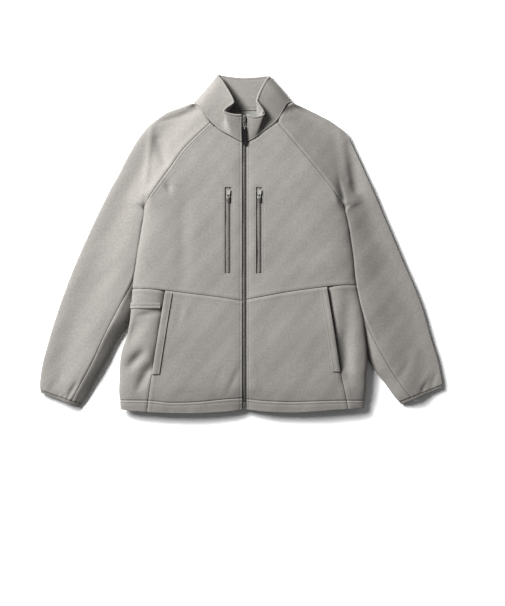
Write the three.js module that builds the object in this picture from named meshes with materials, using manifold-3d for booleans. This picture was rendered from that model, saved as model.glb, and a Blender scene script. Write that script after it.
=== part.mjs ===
import * as THREE from 'three';
import { mergeVertices } from 'three/addons/utils/BufferGeometryUtils.js';
import Module from 'manifold-3d';

// A fleece jacket with a full zip and raglan sleeves, laid flat with its front up.
// Lengths are millimetres. X runs across the jacket, Y from hem to collar, Z up from the surface.
// While it is drawn, X = 0 is the zip line and Y = 0 is the front hem at the zip.
// Left and right are the viewer's, looking down at the front.

const LEFT = -1;
const RIGHT = 1;

// Cloth and seams
const CLOTH = 2.5;
const COLLAR_CLOTH = 4;
const SEAM = 0.25;
const LAID_ON = 0.3;

// The body's rounded sides
const SIDE_ROUND = 62;
const SIDE_ROUND_LENGTH = 69;
const SIDE_POWER = 2.4;
const UNDER_ROUND = 34;
const UNDER_ROUND_LENGTH = 44;
const UNDER_POWER = 1.15;
const SIDE_SEAM_SHARE = 0.72;
const HEM_LIFT_LENGTH = 60;
const UNDER_FLAT_START = 444;
const UNDER_FLAT_LENGTH = 14;

// Where the body's side opens into the sleeve
const ARMPIT_LOW = 450;
const ARMPIT_HIGH = 482;
const VALLEY_FLOOR = 15;
const RIDGE_INSIDE = 16;
const RIDGE_WIDTH = 30;

// The sleeves' rounded folds
const ARM_TUCK = 14;
const ARM_INNER_FOLD = 7;
const ARM_INNER_ROUND = 34;
const ARM_INNER_POWER = 1.3;
const ARM_INNER_UNDER = 10;
const ARM_OUTER_FOLD = 10;
const ARM_OUTER_ROUND = 42;
const ARM_OUTER_UNDER = 16;
const CUFF_ROW = 0.32;
const ARMPIT_ROW = 9;
const UNDER_SLEEVE_ROW = 8.7;
const CUFF_GAP_ROW = 0.02;
const UNDER_SEAM_OFFSET = 2;
const RAGLAN_CREST = 26;
const NECK_CREST = 20;
const BLOCK_START = 452;
const BLOCK_LENGTH = 14;
const TOP_ROUND_SHARE = 0.45;
const UNDER_ROUND_SHARE = 0.3;
const CREST_BLEND = 3;
const SEAM_FIT_LENGTH = 14;

// The zips
const ZIP_EDGE = 5;
const ZIP_DIP = 1.5;
const ZIP_DIP_WIDTH = 16;
const TAPE_CLOTH = 0.9;
const CHAIN_WIDTH = 5;
const CHAIN_HEIGHT = 2;
const CHEST_ZIP_BOTTOM = 314;
const CHEST_ZIP_TOP = 512;
const MAIN_ZIP = { ends: [2, 677], tapeHalfWidth: 13, stopTop: 19, stopWidth: 8, stopHeight: 3 };
const CHEST_ZIP = { chainWidth: 4.4, tapeUnderlap: 5, tapeBeyond: 6, chainShort: 2 };
const TAPE_DEPTH = {
  hem: { extra: 1.2, start: 40, length: 30 },
  collar: { start: 598, length: 14 },
};
const ZIP_STATIONS = [
  2, 19, 35, 50, 65, 85, 110, 140, 180, 230, 290, 350, 410, 470, 530, 570, 598, 612, 628, 652, 677,
];
const BRIDGE_WALL = 1.2;
const BRIDGE_ROOT = 0.4;
const BRIDGE_CORNER = 1.6;
const SLIDER_CORNER = 2;
const SLIDER_NARROW_SHARE = 0.36;
const LINK_CORNER = 0.6;
const TAB_CORNER = 1.8;
const MERGE_DISTANCE = 1e-4;
const MAIN_SLIDER = {
  y: 668.5, width: 8.6, length: 16, plate: 2.2, bridgeLength: 11, bridgeHeight: 4.2, bridgeWidth: 2.6,
};
const CHEST_SLIDER = {
  y: 485, width: 8, length: 15, plate: 1.8, bridgeLength: 8.6, bridgeHeight: 3.6, bridgeWidth: 2.2,
};
const MAIN_PULL = {
  rod: 1.4, linkWidth: 8.4, linkHole: 5.4, linkLength: 16, tabWidth: 10.4, tabTop: 9.4,
  tabLength: 41, tabHeight: 2.6, pivotY: -2.6, pivotZ: 3.4, pitch: -0.06, turned: false,
};
const CHEST_PULL = {
  rod: 1.2, linkWidth: 6.4, linkHole: 4, linkLength: 9, tabWidth: 10.6, tabTop: 8.6,
  tabLength: 11, tabHeight: 1.8, pivotY: 1.8, pivotZ: 2.9, pitch: -0.05, turned: true,
};

function clamp(value, low, high) {
  return Math.min(Math.max(value, low), high);
}

function mix(a, b, t) {
  return a + (b - a) * t;
}

function ease(t) {
  const c = clamp(t, 0, 1);
  return c * c * (3 - 2 * c);
}

function swell(t, power) {
  return (1 - (1 - clamp(t, 0, 1)) ** power) ** (1 / power);
}

function larger(a, b, blend) {
  return (a + b + Math.hypot(a - b, blend)) / 2;
}

function named(columns, rows) {
  return rows.map((row) => Object.fromEntries(columns.map((name, i) => [name, row[i]])));
}

// A table's column read as a smooth curve along another of its columns
function read(table, along, column, place) {
  const last = table.length - 1;
  const at = clamp(place, table[0][along], table[last][along]);
  let i = 0;
  while (i < last - 1 && at > table[i + 1][along]) {
    i += 1;
  }
  const slope = (j) => {
    const low = table[Math.max(j - 1, 0)];
    const high = table[Math.min(j + 1, last)];
    return (high[column] - low[column]) / (high[along] - low[along]);
  };
  const span = table[i + 1][along] - table[i][along];
  const t = (at - table[i][along]) / span;
  const start = table[i][column];
  const end = table[i + 1][column];
  const rise = t * t * (3 - 2 * t);
  const leave = t * (1 - t) * (1 - t) * span * slope(i);
  const arrive = t * t * (t - 1) * span * slope(i + 1);
  return mix(start, end, rise) + leave + arrive;
}

// The body by its place up the front: half widths left and right, height of the top and of the side fold
const BODY = named(['y', 'left', 'right', 'top', 'fold'], [
  [-10, 286, 276, 24, 13],
  [8, 285, 276, 27, 15],
  [43, 289, 279, 33, 19],
  [72, 288, 280, 35, 21],
  [127, 284, 282, 37, 23],
  [173, 271, 278, 38, 24],
  [218, 263, 272, 38, 24],
  [298, 256, 256, 38, 24],
  [360, 247, 250, 39, 24],
  [437, 235, 237, 39, 24],
  [515, 227, 218, 39, 24],
  [586, 221, 210, 37, 24],
  [650, 213, 199, 34, 22],
  [710, 196, 186, 29, 16],
]);

// The hem's lower edge and how far the front hem is lifted, by distance from the zip
const HEM = named(['x', 'left', 'right', 'lift'], [
  [0, 1, 1, -9],
  [45, -5, -4, -3],
  [110, -8, -7, 0],
  [175, -8, -3, 1],
  [225, -5, 1, 0],
  [285, 1, 5, -2],
]);

// The waist seam, by distance from the zip
const WAIST_SEAM = named(['x', 'left', 'right'], [
  [0, 250, 253],
  [48, 258, 262],
  [110, 266, 273],
  [184, 275, 283],
  [221, 279, 287],
  [280, 279, 286],
]);

// The front neck seam, by distance from the zip
const NECK_SEAM = named(['x', 'left', 'right'], [
  [0, 613, 613],
  [10, 616, 616],
  [29, 626, 626],
  [54, 640, 644],
  [79, 660, 662],
]);

// The raglan seams' distance from the zip line
const RAGLAN_SEAM = named(['y', 'left', 'right'], [
  [482, 225, 221],
  [519, 200, 195],
  [560, 170, 162],
  [605, 137, 124],
  [661, 79, 77],
]);

// The hand pockets' mouths, and the seams below them
const POCKET_LINE = named(['y', 'left', 'right'], [
  [-8, 225, 241],
  [27, 221, 234],
  [84, 213, 222],
  [180, 198, 207],
  [290, 180, 189],
]);
const WELT_WIDTH = 18;
const WELT_HEIGHT = 2.2;
const WELT_BOTTOM = { left: 82, right: 88 };
const WELT_TOP_GAP = 4;

// The chest pockets' slots, as distances from the zip line
const CHEST_SLOT = { left: { near: 30, far: 45 }, right: { near: 27, far: 41 } };

// The narrow band across the left side panel
const SIDE_BAND = { bottom: 233.7, top: 246.6, near: 193, pastFold: 12, height: 1.6 };

// Soft folds of the front: middle, heading, half length, half width and height of each
const FRONT_FOLDS = named(['x', 'y', 'heading', 'length', 'width', 'height'], [
  [-190, 598, 95, 50, 15, -4],
  [-139, 391, 88, 95, 16, -2.5],
  [-246, 186, 62, 40, 13, -5],
  [-252, 116, 42, 26, 12, -5],
  [-231, 76, 64, 30, 12, -4],
  [233, 130, 98, 42, 13, -4],
  [150, 330, 20, 90, 26, 1.5],
]);

// Sleeves below the armpit, from cuff (row 0) to armpit (row 9): the outer fold, the inner fold,
// the distance of the under-sleeve seam from the inner fold, and the height of the crest
const ARM_COLUMNS = ['row', 'outerX', 'outerY', 'innerX', 'innerY', 'seam', 'crest'];
const ARM_ROWS = {
  left: named(ARM_COLUMNS, [
    [0, -470, 39, -382, 6, 21, 20],
    [1, -472, 62, -366, 27, 26, 22],
    [2, -466, 105, -342, 67, 28, 24],
    [3, -454, 150, -319, 107, 30, 25],
    [4, -438, 205, -291, 160, 34, 25],
    [5, -416, 269, -256, 216, 40, 26],
    [6, -387, 343, -243, 292, 15, 26],
    [7, -358, 409, -232, 362, 9, 26],
    [8, -334, 459, -222, 425, 6, 26],
    [9, -322, 484, -215.8, 450, 4, 26],
  ]),
  right: named(ARM_COLUMNS, [
    [0, 455, 51, 362, 12, 29, 20],
    [1, 454, 72, 346, 30, 29, 22],
    [2, 444, 120, 323, 62, 28, 24],
    [3, 431, 160, 299, 93, 32, 25],
    [4, 412, 228, 272, 144, 31, 25],
    [5, 392, 282, 262, 205, 15, 26],
    [6, 366, 341, 247, 272, 10, 26],
    [7, 337, 410, 238, 345, 8, 26],
    [8, 318, 454, 226, 420, 6, 26],
    [9, 308, 478, 217.6, 450, 4, 26],
  ]),
};

// Sleeves above the armpit, by the raglan seam's place: the outer fold and the back raglan seam
const RAGLAN_COLUMNS = ['y', 'outerX', 'outerY', 'backX', 'backY'];
const RAGLAN_ROWS = {
  left: named(RAGLAN_COLUMNS, [
    [450, -322, 484, -213, 454],
    [482, -306, 515, -206, 487],
    [519, -290, 543, -191, 522],
    [564, -268, 586, -167, 566],
    [605, -245, 624, -143, 610],
    [633, -225, 650, -121, 646],
    [661, -203, 669, -102, 678],
  ]),
  right: named(RAGLAN_COLUMNS, [
    [450, 308, 478, 211, 454],
    [482, 296, 506, 203, 487],
    [519, 282, 537, 187, 522],
    [564, 258, 591, 162, 566],
    [605, 236, 634, 138, 610],
    [633, 218, 650, 118, 646],
    [661, 195, 667, 100, 678],
  ]),
};

// The sleeves' ends at the neck, where the rows fan round to the shoulder's fold
const NECK_COLUMNS = ['frontX', 'frontY', 'outerX', 'outerY', 'backX', 'backY', 'crest'];
const NECK_ROWS = {
  left: named(NECK_COLUMNS, [
    [-89, 675, -176, 687, -95, 692.5, 31],
    [-100, 692, -148, 696, -99, 699, 27],
    [-109, 701, -126, 703, -108, 703, 21],
  ]),
  right: named(NECK_COLUMNS, [
    [86, 676, 170, 680, 92, 692.5, 31],
    [95, 692, 141, 693, 96, 699, 27],
    [101, 701, 118, 703, 102, 703, 21],
  ]),
};

// The back raglan seams and the back neck seam
const BACK_RAGLAN = named(['y', 'left', 'right'], [
  [450, 214, 212],
  [454, 213, 211],
  [487, 206, 203],
  [522, 191, 187],
  [566, 167, 162],
  [610, 143, 138],
  [646, 121, 118],
  [678, 102, 100],
  [692, 93, 90],
]);
const BACK_NECK = { y: 690, rise: 3, halfWidth: 92 };
const BACK_HEM = 3;
const BACK_TURN = 9;
const BACK_ARMPIT = { below: 14, above: 10 };

const NECK_TAPE = { halfWidth: 42, bottom: 678, top: 689.4, cloth: 1 };

// The collar from one zip edge round the back to the other: its seam, its rim,
// and how far the middle of each line leans aside and swells up
const COLLAR_COLUMNS = ['baseX', 'baseY', 'baseZ', 'rimX', 'rimY', 'rimZ', 'lean', 'swell'];
const COLLAR_ROWS = named(COLLAR_COLUMNS, [
  [-5, 616, 35, -5, 679, 50, 0, 0],
  [-16, 621, 36, -26, 680, 52, 0, 2],
  [-28, 628, 36, -48, 687, 52, 0, 3],
  [-44, 637, 35, -44, 696, 43, 3, -6],
  [-57, 645, 34, -33, 704, 36, 4, -8],
  [-70, 656, 33, -25, 713, 31, 0, -5],
  [-84, 670, 31, -29, 724, 28, -4, -2],
  [-95, 686, 29, -38, 741, 23, -4, 1],
  [-107, 701, 23, -52, 763, 16, -2, 2],
  [-117, 708, 8, -62, 773, 8, 3, 0],
  [-106, 707, 0, -53, 772, 0, 0, 0],
  [-72, 697, 0, -36, 769, 0, 0, 0],
  [-36, 692, 0, -18, 767, 0, 0, 0],
  [0, 691, 0, 0, 766, 0, 0, 0],
  [36, 692, 0, 18, 767, 0, 0, 0],
  [70, 697, 0, 34, 768, 0, 0, 0],
  [100, 707, 0, 48, 770, 0, 0, 0],
  [111, 708, 8, 57, 770, 8, 2, 0],
  [99, 704, 23, 49, 761, 16, 2, 2],
  [90, 689, 29, 38, 741, 23, 0, 1],
  [81, 673, 31, 31, 724, 28, -8, -3],
  [69, 659, 33, 31, 712, 34, -20, -5],
  [57, 650, 34, 38, 701, 41, -28, -7],
  [44, 640, 35, 45, 690, 47, -20, -5],
  [28, 628, 36, 45, 680, 52, 0, 3],
  [16, 621, 36, 24, 675, 52, 0, 2],
  [5, 616, 35, 5, 680, 50, 0, 0],
]);

// Colours and finishes
const FLEECE = { color: 0xa8a297, roughness: 0.95, metalness: 0 };
const FLEECE_PALE = { color: 0xb9b6ab, roughness: 0.95, metalness: 0 };
const BINDING = { color: 0x827e78, roughness: 0.9, metalness: 0 };
const TAPE = { color: 0x7d7a75, roughness: 0.85, metalness: 0 };
const COIL = { color: 0x5c5a57, roughness: 0.5, metalness: 0 };
const METAL = { color: 0x8f8e8c, roughness: 0.35, metalness: 0.9 };
const TAB_PALE = { color: 0xb5b2aa, roughness: 0.5, metalness: 0 };
const TAB_BLACK = { color: 0x17181a, roughness: 0.55, metalness: 0 };

const wasm = await Module();
wasm.setup();

const jacket = new THREE.Group();

function sideName(side) {
  return side === LEFT ? 'left' : 'right';
}

function addPiece(name, geometry, finish, parent = jacket) {
  const mesh = new THREE.Mesh(geometry, new THREE.MeshStandardMaterial(finish));
  mesh.name = name;
  parent.add(mesh);
  return mesh;
}

// Heights of the body's front

function foldHeightAt(x, y, folds) {
  let height = 0;
  for (const fold of folds) {
    const turn = THREE.MathUtils.degToRad(fold.heading);
    const dx = x - fold.x;
    const dy = y - fold.y;
    const along = dx * Math.cos(turn) + dy * Math.sin(turn);
    const beside = dy * Math.cos(turn) - dx * Math.sin(turn);
    height += fold.height * Math.exp(-((along / fold.length) ** 2) - (beside / fold.width) ** 2);
  }
  return height;
}

function halfWidth(side, y) {
  return read(BODY, 'y', sideName(side), y);
}

function bodyTop(x, y) {
  const level = read(BODY, 'y', 'top', y);
  const hemLift = read(HEM, 'x', 'lift', Math.abs(x)) * (1 - ease(y / HEM_LIFT_LENGTH));
  const zipDip = ZIP_DIP * Math.exp(-((x / ZIP_DIP_WIDTH) ** 2));
  return level + hemLift - zipDip + foldHeightAt(x, y, FRONT_FOLDS);
}

function frontHeight(side, x, y) {
  const edge = halfWidth(side, y);
  const distance = Math.abs(x);
  const fold = read(BODY, 'y', 'fold', y);
  const top = bodyTop(x, y);
  const rounded = fold + (top - fold) * swell((edge - distance) / SIDE_ROUND, SIDE_POWER);
  const past = (distance - (edge - RIDGE_INSIDE)) / RIDGE_WIDTH;
  const stepped = VALLEY_FLOOR + (top - VALLEY_FLOOR) * (1 - ease(past));
  return mix(rounded, stepped, ease((y - ARMPIT_LOW) / (ARMPIT_HIGH - ARMPIT_LOW)));
}

function underHeight(side, x, y) {
  const fold = read(BODY, 'y', 'fold', y);
  const inset = (halfWidth(side, y) - Math.abs(x)) / UNDER_ROUND;
  const closed = 1 - ease((y - UNDER_FLAT_START) / UNDER_FLAT_LENGTH);
  return closed * fold * (1 - swell(inset, UNDER_POWER));
}

// The girth coordinate is the distance from the zip line along the cloth: across the front,
// round the side fold and on to the underside

function foldGirth(side, y) {
  return halfWidth(side, y) - SIDE_ROUND + SIDE_ROUND_LENGTH;
}

function sideSeamGirth(side, y) {
  return foldGirth(side, y) + UNDER_ROUND_LENGTH * SIDE_SEAM_SHARE;
}

function girthOf(side, distance, y) {
  const flat = halfWidth(side, y) - SIDE_ROUND;
  if (distance <= flat) {
    return distance;
  }
  const turn = Math.asin(clamp((distance - flat) / SIDE_ROUND, 0, 1));
  return flat + SIDE_ROUND_LENGTH * turn / (Math.PI / 2);
}

function bodyPoint(side, girth, y) {
  const edge = halfWidth(side, y);
  const flat = edge - SIDE_ROUND;
  const fold = foldGirth(side, y);
  if (girth <= flat) {
    return new THREE.Vector3(side * girth, y, frontHeight(side, side * girth, y));
  }
  if (girth <= fold) {
    const turn = (girth - flat) / SIDE_ROUND_LENGTH * Math.PI / 2;
    const x = side * (flat + SIDE_ROUND * Math.sin(turn));
    return new THREE.Vector3(x, y, frontHeight(side, x, y));
  }
  const turn = (girth - fold) / UNDER_ROUND_LENGTH * Math.PI / 2;
  const x = side * (edge - UNDER_ROUND * (1 - Math.cos(turn)));
  const foldZ = read(BODY, 'y', 'fold', y);
  return new THREE.Vector3(x, y, foldZ * (1 - swell(1 - Math.cos(turn), UNDER_POWER)));
}

// The outer edge of the chest panel: the raglan seam, then down the side to the armpit
function upperEdgeGirth(side, y) {
  const name = sideName(side);
  if (y >= ARMPIT_HIGH) {
    return girthOf(side, read(RAGLAN_SEAM, 'y', name, y), y);
  }
  const inset = halfWidth(side, ARMPIT_HIGH) - read(RAGLAN_SEAM, 'y', name, ARMPIT_HIGH);
  const onTop = girthOf(side, halfWidth(side, y) - inset, y);
  const open = ease((y - ARMPIT_LOW) / (ARMPIT_HIGH - ARMPIT_LOW));
  return mix(sideSeamGirth(side, y), onTop, open);
}

// A grid of points between boundary lines. The lines across are girths by height up the body,
// and the lines up are heights by girth.

function steps(cells) {
  const list = [];
  cells.forEach((count, band) => {
    for (let i = 0; i < count; i += 1) {
      list.push({ band, t: i / count });
    }
  });
  list.push({ band: cells.length - 1, t: 1 });
  return list;
}

function patch(lines, surface) {
  const passes = 12;
  return steps(lines.upCells).map((row) => steps(lines.acrossCells).map((column) => {
    let girth = 0;
    let y = mix(lines.up[row.band](0), lines.up[row.band + 1](0), row.t);
    for (let pass = 0; pass < passes; pass += 1) {
      girth = mix(lines.across[column.band](y), lines.across[column.band + 1](y), column.t);
      y = mix(lines.up[row.band](girth), lines.up[row.band + 1](girth), row.t);
    }
    return surface(girth, y);
  }));
}

// Walls of cloth

function gridNormals(grid, flip, wrap) {
  const rows = grid.length;
  const columns = grid[0].length;
  const lastColumn = wrap ? columns : columns - 1;
  const normals = grid.map((line) => line.map(() => new THREE.Vector3()));
  for (let r = 0; r < rows - 1; r += 1) {
    for (let c = 0; c < lastColumn; c += 1) {
      const next = (c + 1) % columns;
      const diagonal = grid[r + 1][next].clone().sub(grid[r][c]);
      const other = grid[r + 1][c].clone().sub(grid[r][next]);
      const normal = diagonal.cross(other).normalize();
      [[r, c], [r, next], [r + 1, next], [r + 1, c]].forEach(([i, j]) => normals[i][j].add(normal));
    }
  }
  normals.forEach((line) => line.forEach((n) => n.normalize().multiplyScalar(flip ? -1 : 1)));
  return normals;
}

function movedOut(grid, distance, flip, wrap = false) {
  const normals = gridNormals(grid, flip, wrap);
  return grid.map((line, r) => line.map((p, c) => p.clone().addScaledVector(normals[r][c], distance)));
}

// A closed wall on a grid of outer points, with its inner side worked out from the thickness.
// Cells for which hole(row, column) is true are left open.
function wall(grid, thickness, { flip = false, wrap = false, hole = () => false, normals } = {}) {
  const rows = grid.length;
  const columns = grid[0].length;
  const outward = normals || gridNormals(grid, flip, wrap);
  const innerPoint = (p, r, c) => p.clone().addScaledVector(outward[r][c], -thickness);
  const inner = grid.map((line, r) => line.map((p, c) => innerPoint(p, r, c)));
  const positions = [...grid.flat(), ...inner.flat()].flatMap((p) => [p.x, p.y, p.z]);
  const innerStart = rows * columns;
  const triangles = [];
  const face = (a, b, c) => triangles.push(...(flip ? [a, c, b] : [a, b, c]));
  const quad = (a, b, c, d) => {
    face(a, b, c);
    face(a, c, d);
  };
  const lastColumn = wrap ? columns : columns - 1;
  const solid = (r, c) => {
    const column = wrap ? (c + columns) % columns : c;
    return r >= 0 && r < rows - 1 && column >= 0 && column < lastColumn && !hole(r, column);
  };
  for (let r = 0; r < rows - 1; r += 1) {
    for (let c = 0; c < lastColumn; c += 1) {
      if (!solid(r, c)) {
        continue;
      }
      const next = (c + 1) % columns;
      const corners = [r * columns + c, r * columns + next, (r + 1) * columns + next, (r + 1) * columns + c];
      const beyond = [[r - 1, c], [r, c + 1], [r + 1, c], [r, c - 1]];
      const under = corners.map((k) => k + innerStart);
      quad(...corners);
      quad(under[0], under[3], under[2], under[1]);
      beyond.forEach(([i, j], k) => {
        if (!solid(i, j)) {
          const from = corners[k];
          const to = corners[(k + 1) % 4];
          quad(to, from, from + innerStart, to + innerStart);
        }
      });
    }
  }
  const geometry = new THREE.BufferGeometry();
  geometry.setAttribute('position', new THREE.Float32BufferAttribute(positions, 3));
  geometry.setIndex(triangles);
  return geometry;
}

// Body panels

function waistSeam(side, girth) {
  return read(WAIST_SEAM, 'x', sideName(side), girth);
}

function hemEdge(side, girth) {
  return read(HEM, 'x', sideName(side), girth);
}

function pocketGirth(side, y) {
  return girthOf(side, read(POCKET_LINE, 'y', sideName(side), y), y);
}

function addChestPanel(side) {
  const name = sideName(side);
  const slot = CHEST_SLOT[name];
  const slotColumn = 2;
  const firstSlotRow = 3;
  const lastSlotRow = 12;
  const grid = patch({
    across: [
      () => ZIP_EDGE,
      () => slot.near,
      () => slot.far,
      (y) => upperEdgeGirth(side, y) - 2 * SEAM,
    ],
    acrossCells: [2, 1, 12],
    up: [
      (girth) => waistSeam(side, girth) + SEAM,
      () => CHEST_ZIP_BOTTOM,
      () => ARMPIT_LOW,
      () => ARMPIT_HIGH,
      () => CHEST_ZIP_TOP,
      (girth) => read(NECK_SEAM, 'x', name, girth),
    ],
    upCells: [3, 4, 4, 2, 7],
  }, (girth, y) => bodyPoint(side, girth, y));
  const hole = (r, c) => c === slotColumn && r >= firstSlotRow && r <= lastSlotRow;
  addPiece(`front_upper_${name}`, wall(grid, CLOTH, { flip: side === LEFT, hole }), FLEECE);
}

function addLowerPanel(side) {
  const name = sideName(side);
  const grid = patch({
    across: [() => ZIP_EDGE, (y) => pocketGirth(side, y) - SEAM],
    acrossCells: [9],
    up: [(girth) => hemEdge(side, girth), (girth) => waistSeam(side, girth) - SEAM],
    upCells: [10],
  }, (girth, y) => bodyPoint(side, girth, y));
  addPiece(`front_lower_${name}`, wall(grid, CLOTH, { flip: side === LEFT }), FLEECE);
}

function addSidePanel(side) {
  const name = sideName(side);
  const grid = patch({
    across: [
      (y) => pocketGirth(side, y) + SEAM,
      (y) => foldGirth(side, y),
      (y) => sideSeamGirth(side, y) - SEAM,
    ],
    acrossCells: [7, 3],
    up: [(girth) => hemEdge(side, girth), (girth) => waistSeam(side, girth) - SEAM],
    upCells: [12],
  }, (girth, y) => bodyPoint(side, girth, y));
  addPiece(`side_panel_${name}`, wall(grid, CLOTH, { flip: side === LEFT }), FLEECE);
}

function backEdge(side, y) {
  if (y > ARMPIT_LOW) {
    return read(BACK_RAGLAN, 'y', sideName(side), y);
  }
  const inset = UNDER_ROUND * (1 - Math.cos(SIDE_SEAM_SHARE * Math.PI / 2));
  return halfWidth(side, y) - inset;
}

function addBackPanel() {
  const flatEdge = (side, y) => Math.min(halfWidth(side, y) - UNDER_ROUND, backEdge(side, y) - BACK_TURN);
  const grid = patch({
    across: [
      (y) => -(backEdge(LEFT, y) - 2 * SEAM),
      (y) => -flatEdge(LEFT, y),
      (y) => flatEdge(RIGHT, y),
      (y) => backEdge(RIGHT, y) - 2 * SEAM,
    ],
    acrossCells: [2, 6, 2],
    up: [
      () => BACK_HEM,
      () => ARMPIT_LOW - BACK_ARMPIT.below,
      () => ARMPIT_LOW + BACK_ARMPIT.above,
      (x) => BACK_NECK.y + BACK_NECK.rise * (x / BACK_NECK.halfWidth) ** 2,
    ],
    upCells: [10, 2, 10],
  }, (x, y) => new THREE.Vector3(x, y, underHeight(Math.sign(x) || RIGHT, x, y)));
  addPiece('back_panel', wall(grid, CLOTH, { flip: true }), FLEECE);
}

// Sleeves

function armSection(side, row) {
  const table = ARM_ROWS[sideName(side)];
  const at = (column) => read(table, 'row', column, row);
  const inner = new THREE.Vector2(at('innerX'), at('innerY'));
  const outer = new THREE.Vector2(at('outerX'), at('outerY'));
  const width = inner.distanceTo(outer);
  const across = outer.clone().sub(inner).divideScalar(width);
  return { inner, outer, width, across, seam: at('seam'), crest: at('crest') };
}

function armLift(inset, crest) {
  return ARM_INNER_FOLD + (crest - ARM_INNER_FOLD) * swell(inset / ARM_INNER_ROUND, ARM_INNER_POWER);
}

function outerDrop(lift, distance, round) {
  return ARM_OUTER_FOLD + (lift - ARM_OUTER_FOLD) * swell(distance / round, 2);
}

function tubeTop(arm, inset) {
  return outerDrop(armLift(inset, arm.crest), arm.width - inset, ARM_OUTER_ROUND);
}

function tubeUnder(arm, inset) {
  const innerSide = ARM_INNER_FOLD * (1 - swell(inset / ARM_INNER_UNDER, 2));
  const outerSide = ARM_OUTER_FOLD * (1 - swell((arm.width - inset) / ARM_OUTER_UNDER, 2));
  return innerSide + outerSide;
}

function tubePoint(arm, inset, z) {
  return new THREE.Vector3(arm.inner.x + arm.across.x * inset, arm.inner.y + arm.across.y * inset, z);
}

const SLEEVE_CELLS = { top: 9, fold: 4, underFold: 3, under: 3 };
const RAGLAN_STATIONS = [458, 466, 474, 482, 497, 512, 533, 554, 575, 597, 618, 639, 660];

// Distances from a row's start to its outer fold, closer together round the fold
function stopsToFold(length, round) {
  const stops = [];
  for (let i = 0; i < SLEEVE_CELLS.top; i += 1) {
    stops.push((length - round) * i / SLEEVE_CELLS.top);
  }
  for (let i = 0; i <= SLEEVE_CELLS.fold; i += 1) {
    stops.push(length - round * (1 - Math.sin(i / SLEEVE_CELLS.fold * Math.PI / 2)));
  }
  return stops;
}

// Distances back from the outer fold along the underside
function stopsFromFold(length, round) {
  const stops = [];
  for (let i = 1; i <= SLEEVE_CELLS.underFold; i += 1) {
    stops.push(round * (1 - Math.cos(i / SLEEVE_CELLS.underFold * Math.PI / 2)));
  }
  for (let i = 1; i <= SLEEVE_CELLS.under; i += 1) {
    stops.push(mix(round, length, i / SLEEVE_CELLS.under));
  }
  return stops;
}

function closedSleeveRow(side, row) {
  const arm = armSection(side, row);
  const start = arm.seam + SEAM;
  const end = arm.seam + UNDER_SEAM_OFFSET + SEAM;
  const top = stopsToFold(arm.width - start, ARM_OUTER_ROUND).map((d) => start + d);
  const under = stopsFromFold(arm.width - end, ARM_OUTER_UNDER).map((d) => arm.width - d);
  return [
    ...top.map((inset) => tubePoint(arm, inset, tubeTop(arm, inset))),
    ...under.map((inset) => tubePoint(arm, inset, tubeUnder(arm, inset))),
  ];
}

function openSleeveRow(side, start, outer, back, crest, blockShare) {
  const length = Math.hypot(outer.x - start.x, outer.y - start.y);
  const round = Math.min(ARM_OUTER_ROUND, TOP_ROUND_SHARE * length);
  const underRound = Math.min(ARM_OUTER_UNDER, UNDER_ROUND_SHARE * length);
  const height = (x, y, distance) => {
    const inset = Math.abs(x) - (halfWidth(side, y) - ARM_TUCK);
    const arm = armLift(inset, crest);
    const block = blockShare * frontHeight(side, x, Math.max(y, ARMPIT_HIGH));
    return outerDrop(larger(block, arm, CREST_BLEND), length - distance, round);
  };
  const mismatch = start.z - height(start.x, start.y, 0);
  const top = stopsToFold(length, round).map((d) => {
    const t = d / length;
    const x = mix(start.x, outer.x, t);
    const y = mix(start.y, outer.y, t);
    const fit = mismatch * Math.exp(-((d / SEAM_FIT_LENGTH) ** 2));
    return new THREE.Vector3(x, y, height(x, y, d) + fit);
  });
  const backLength = Math.hypot(outer.x - back.x, outer.y - back.y);
  const under = stopsFromFold(backLength, underRound).map((d) => {
    const x = mix(outer.x, back.x, d / backLength);
    const y = mix(outer.y, back.y, d / backLength);
    const rise = ARM_OUTER_FOLD * (1 - swell(d / underRound, 2));
    return new THREE.Vector3(x, y, Math.max(rise, underHeight(side, x, y)));
  });
  return [...top, ...under];
}

function raglanSleeveRow(side, y) {
  const table = RAGLAN_ROWS[sideName(side)];
  const at = (column) => read(table, 'y', column, y);
  const start = bodyPoint(side, upperEdgeGirth(side, y), y);
  start.x += side * 3 * SEAM;
  start.y += SEAM;
  const outer = new THREE.Vector2(at('outerX'), at('outerY'));
  const back = new THREE.Vector2(at('backX') + side * 2 * SEAM, at('backY'));
  return openSleeveRow(side, start, outer, back, RAGLAN_CREST, ease((y - BLOCK_START) / BLOCK_LENGTH));
}

function neckSleeveRow(side, row) {
  const start = new THREE.Vector3(row.frontX, row.frontY, row.crest);
  const outer = new THREE.Vector2(row.outerX, row.outerY);
  const back = new THREE.Vector2(row.backX, row.backY);
  return openSleeveRow(side, start, outer, back, NECK_CREST, 1);
}

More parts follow.
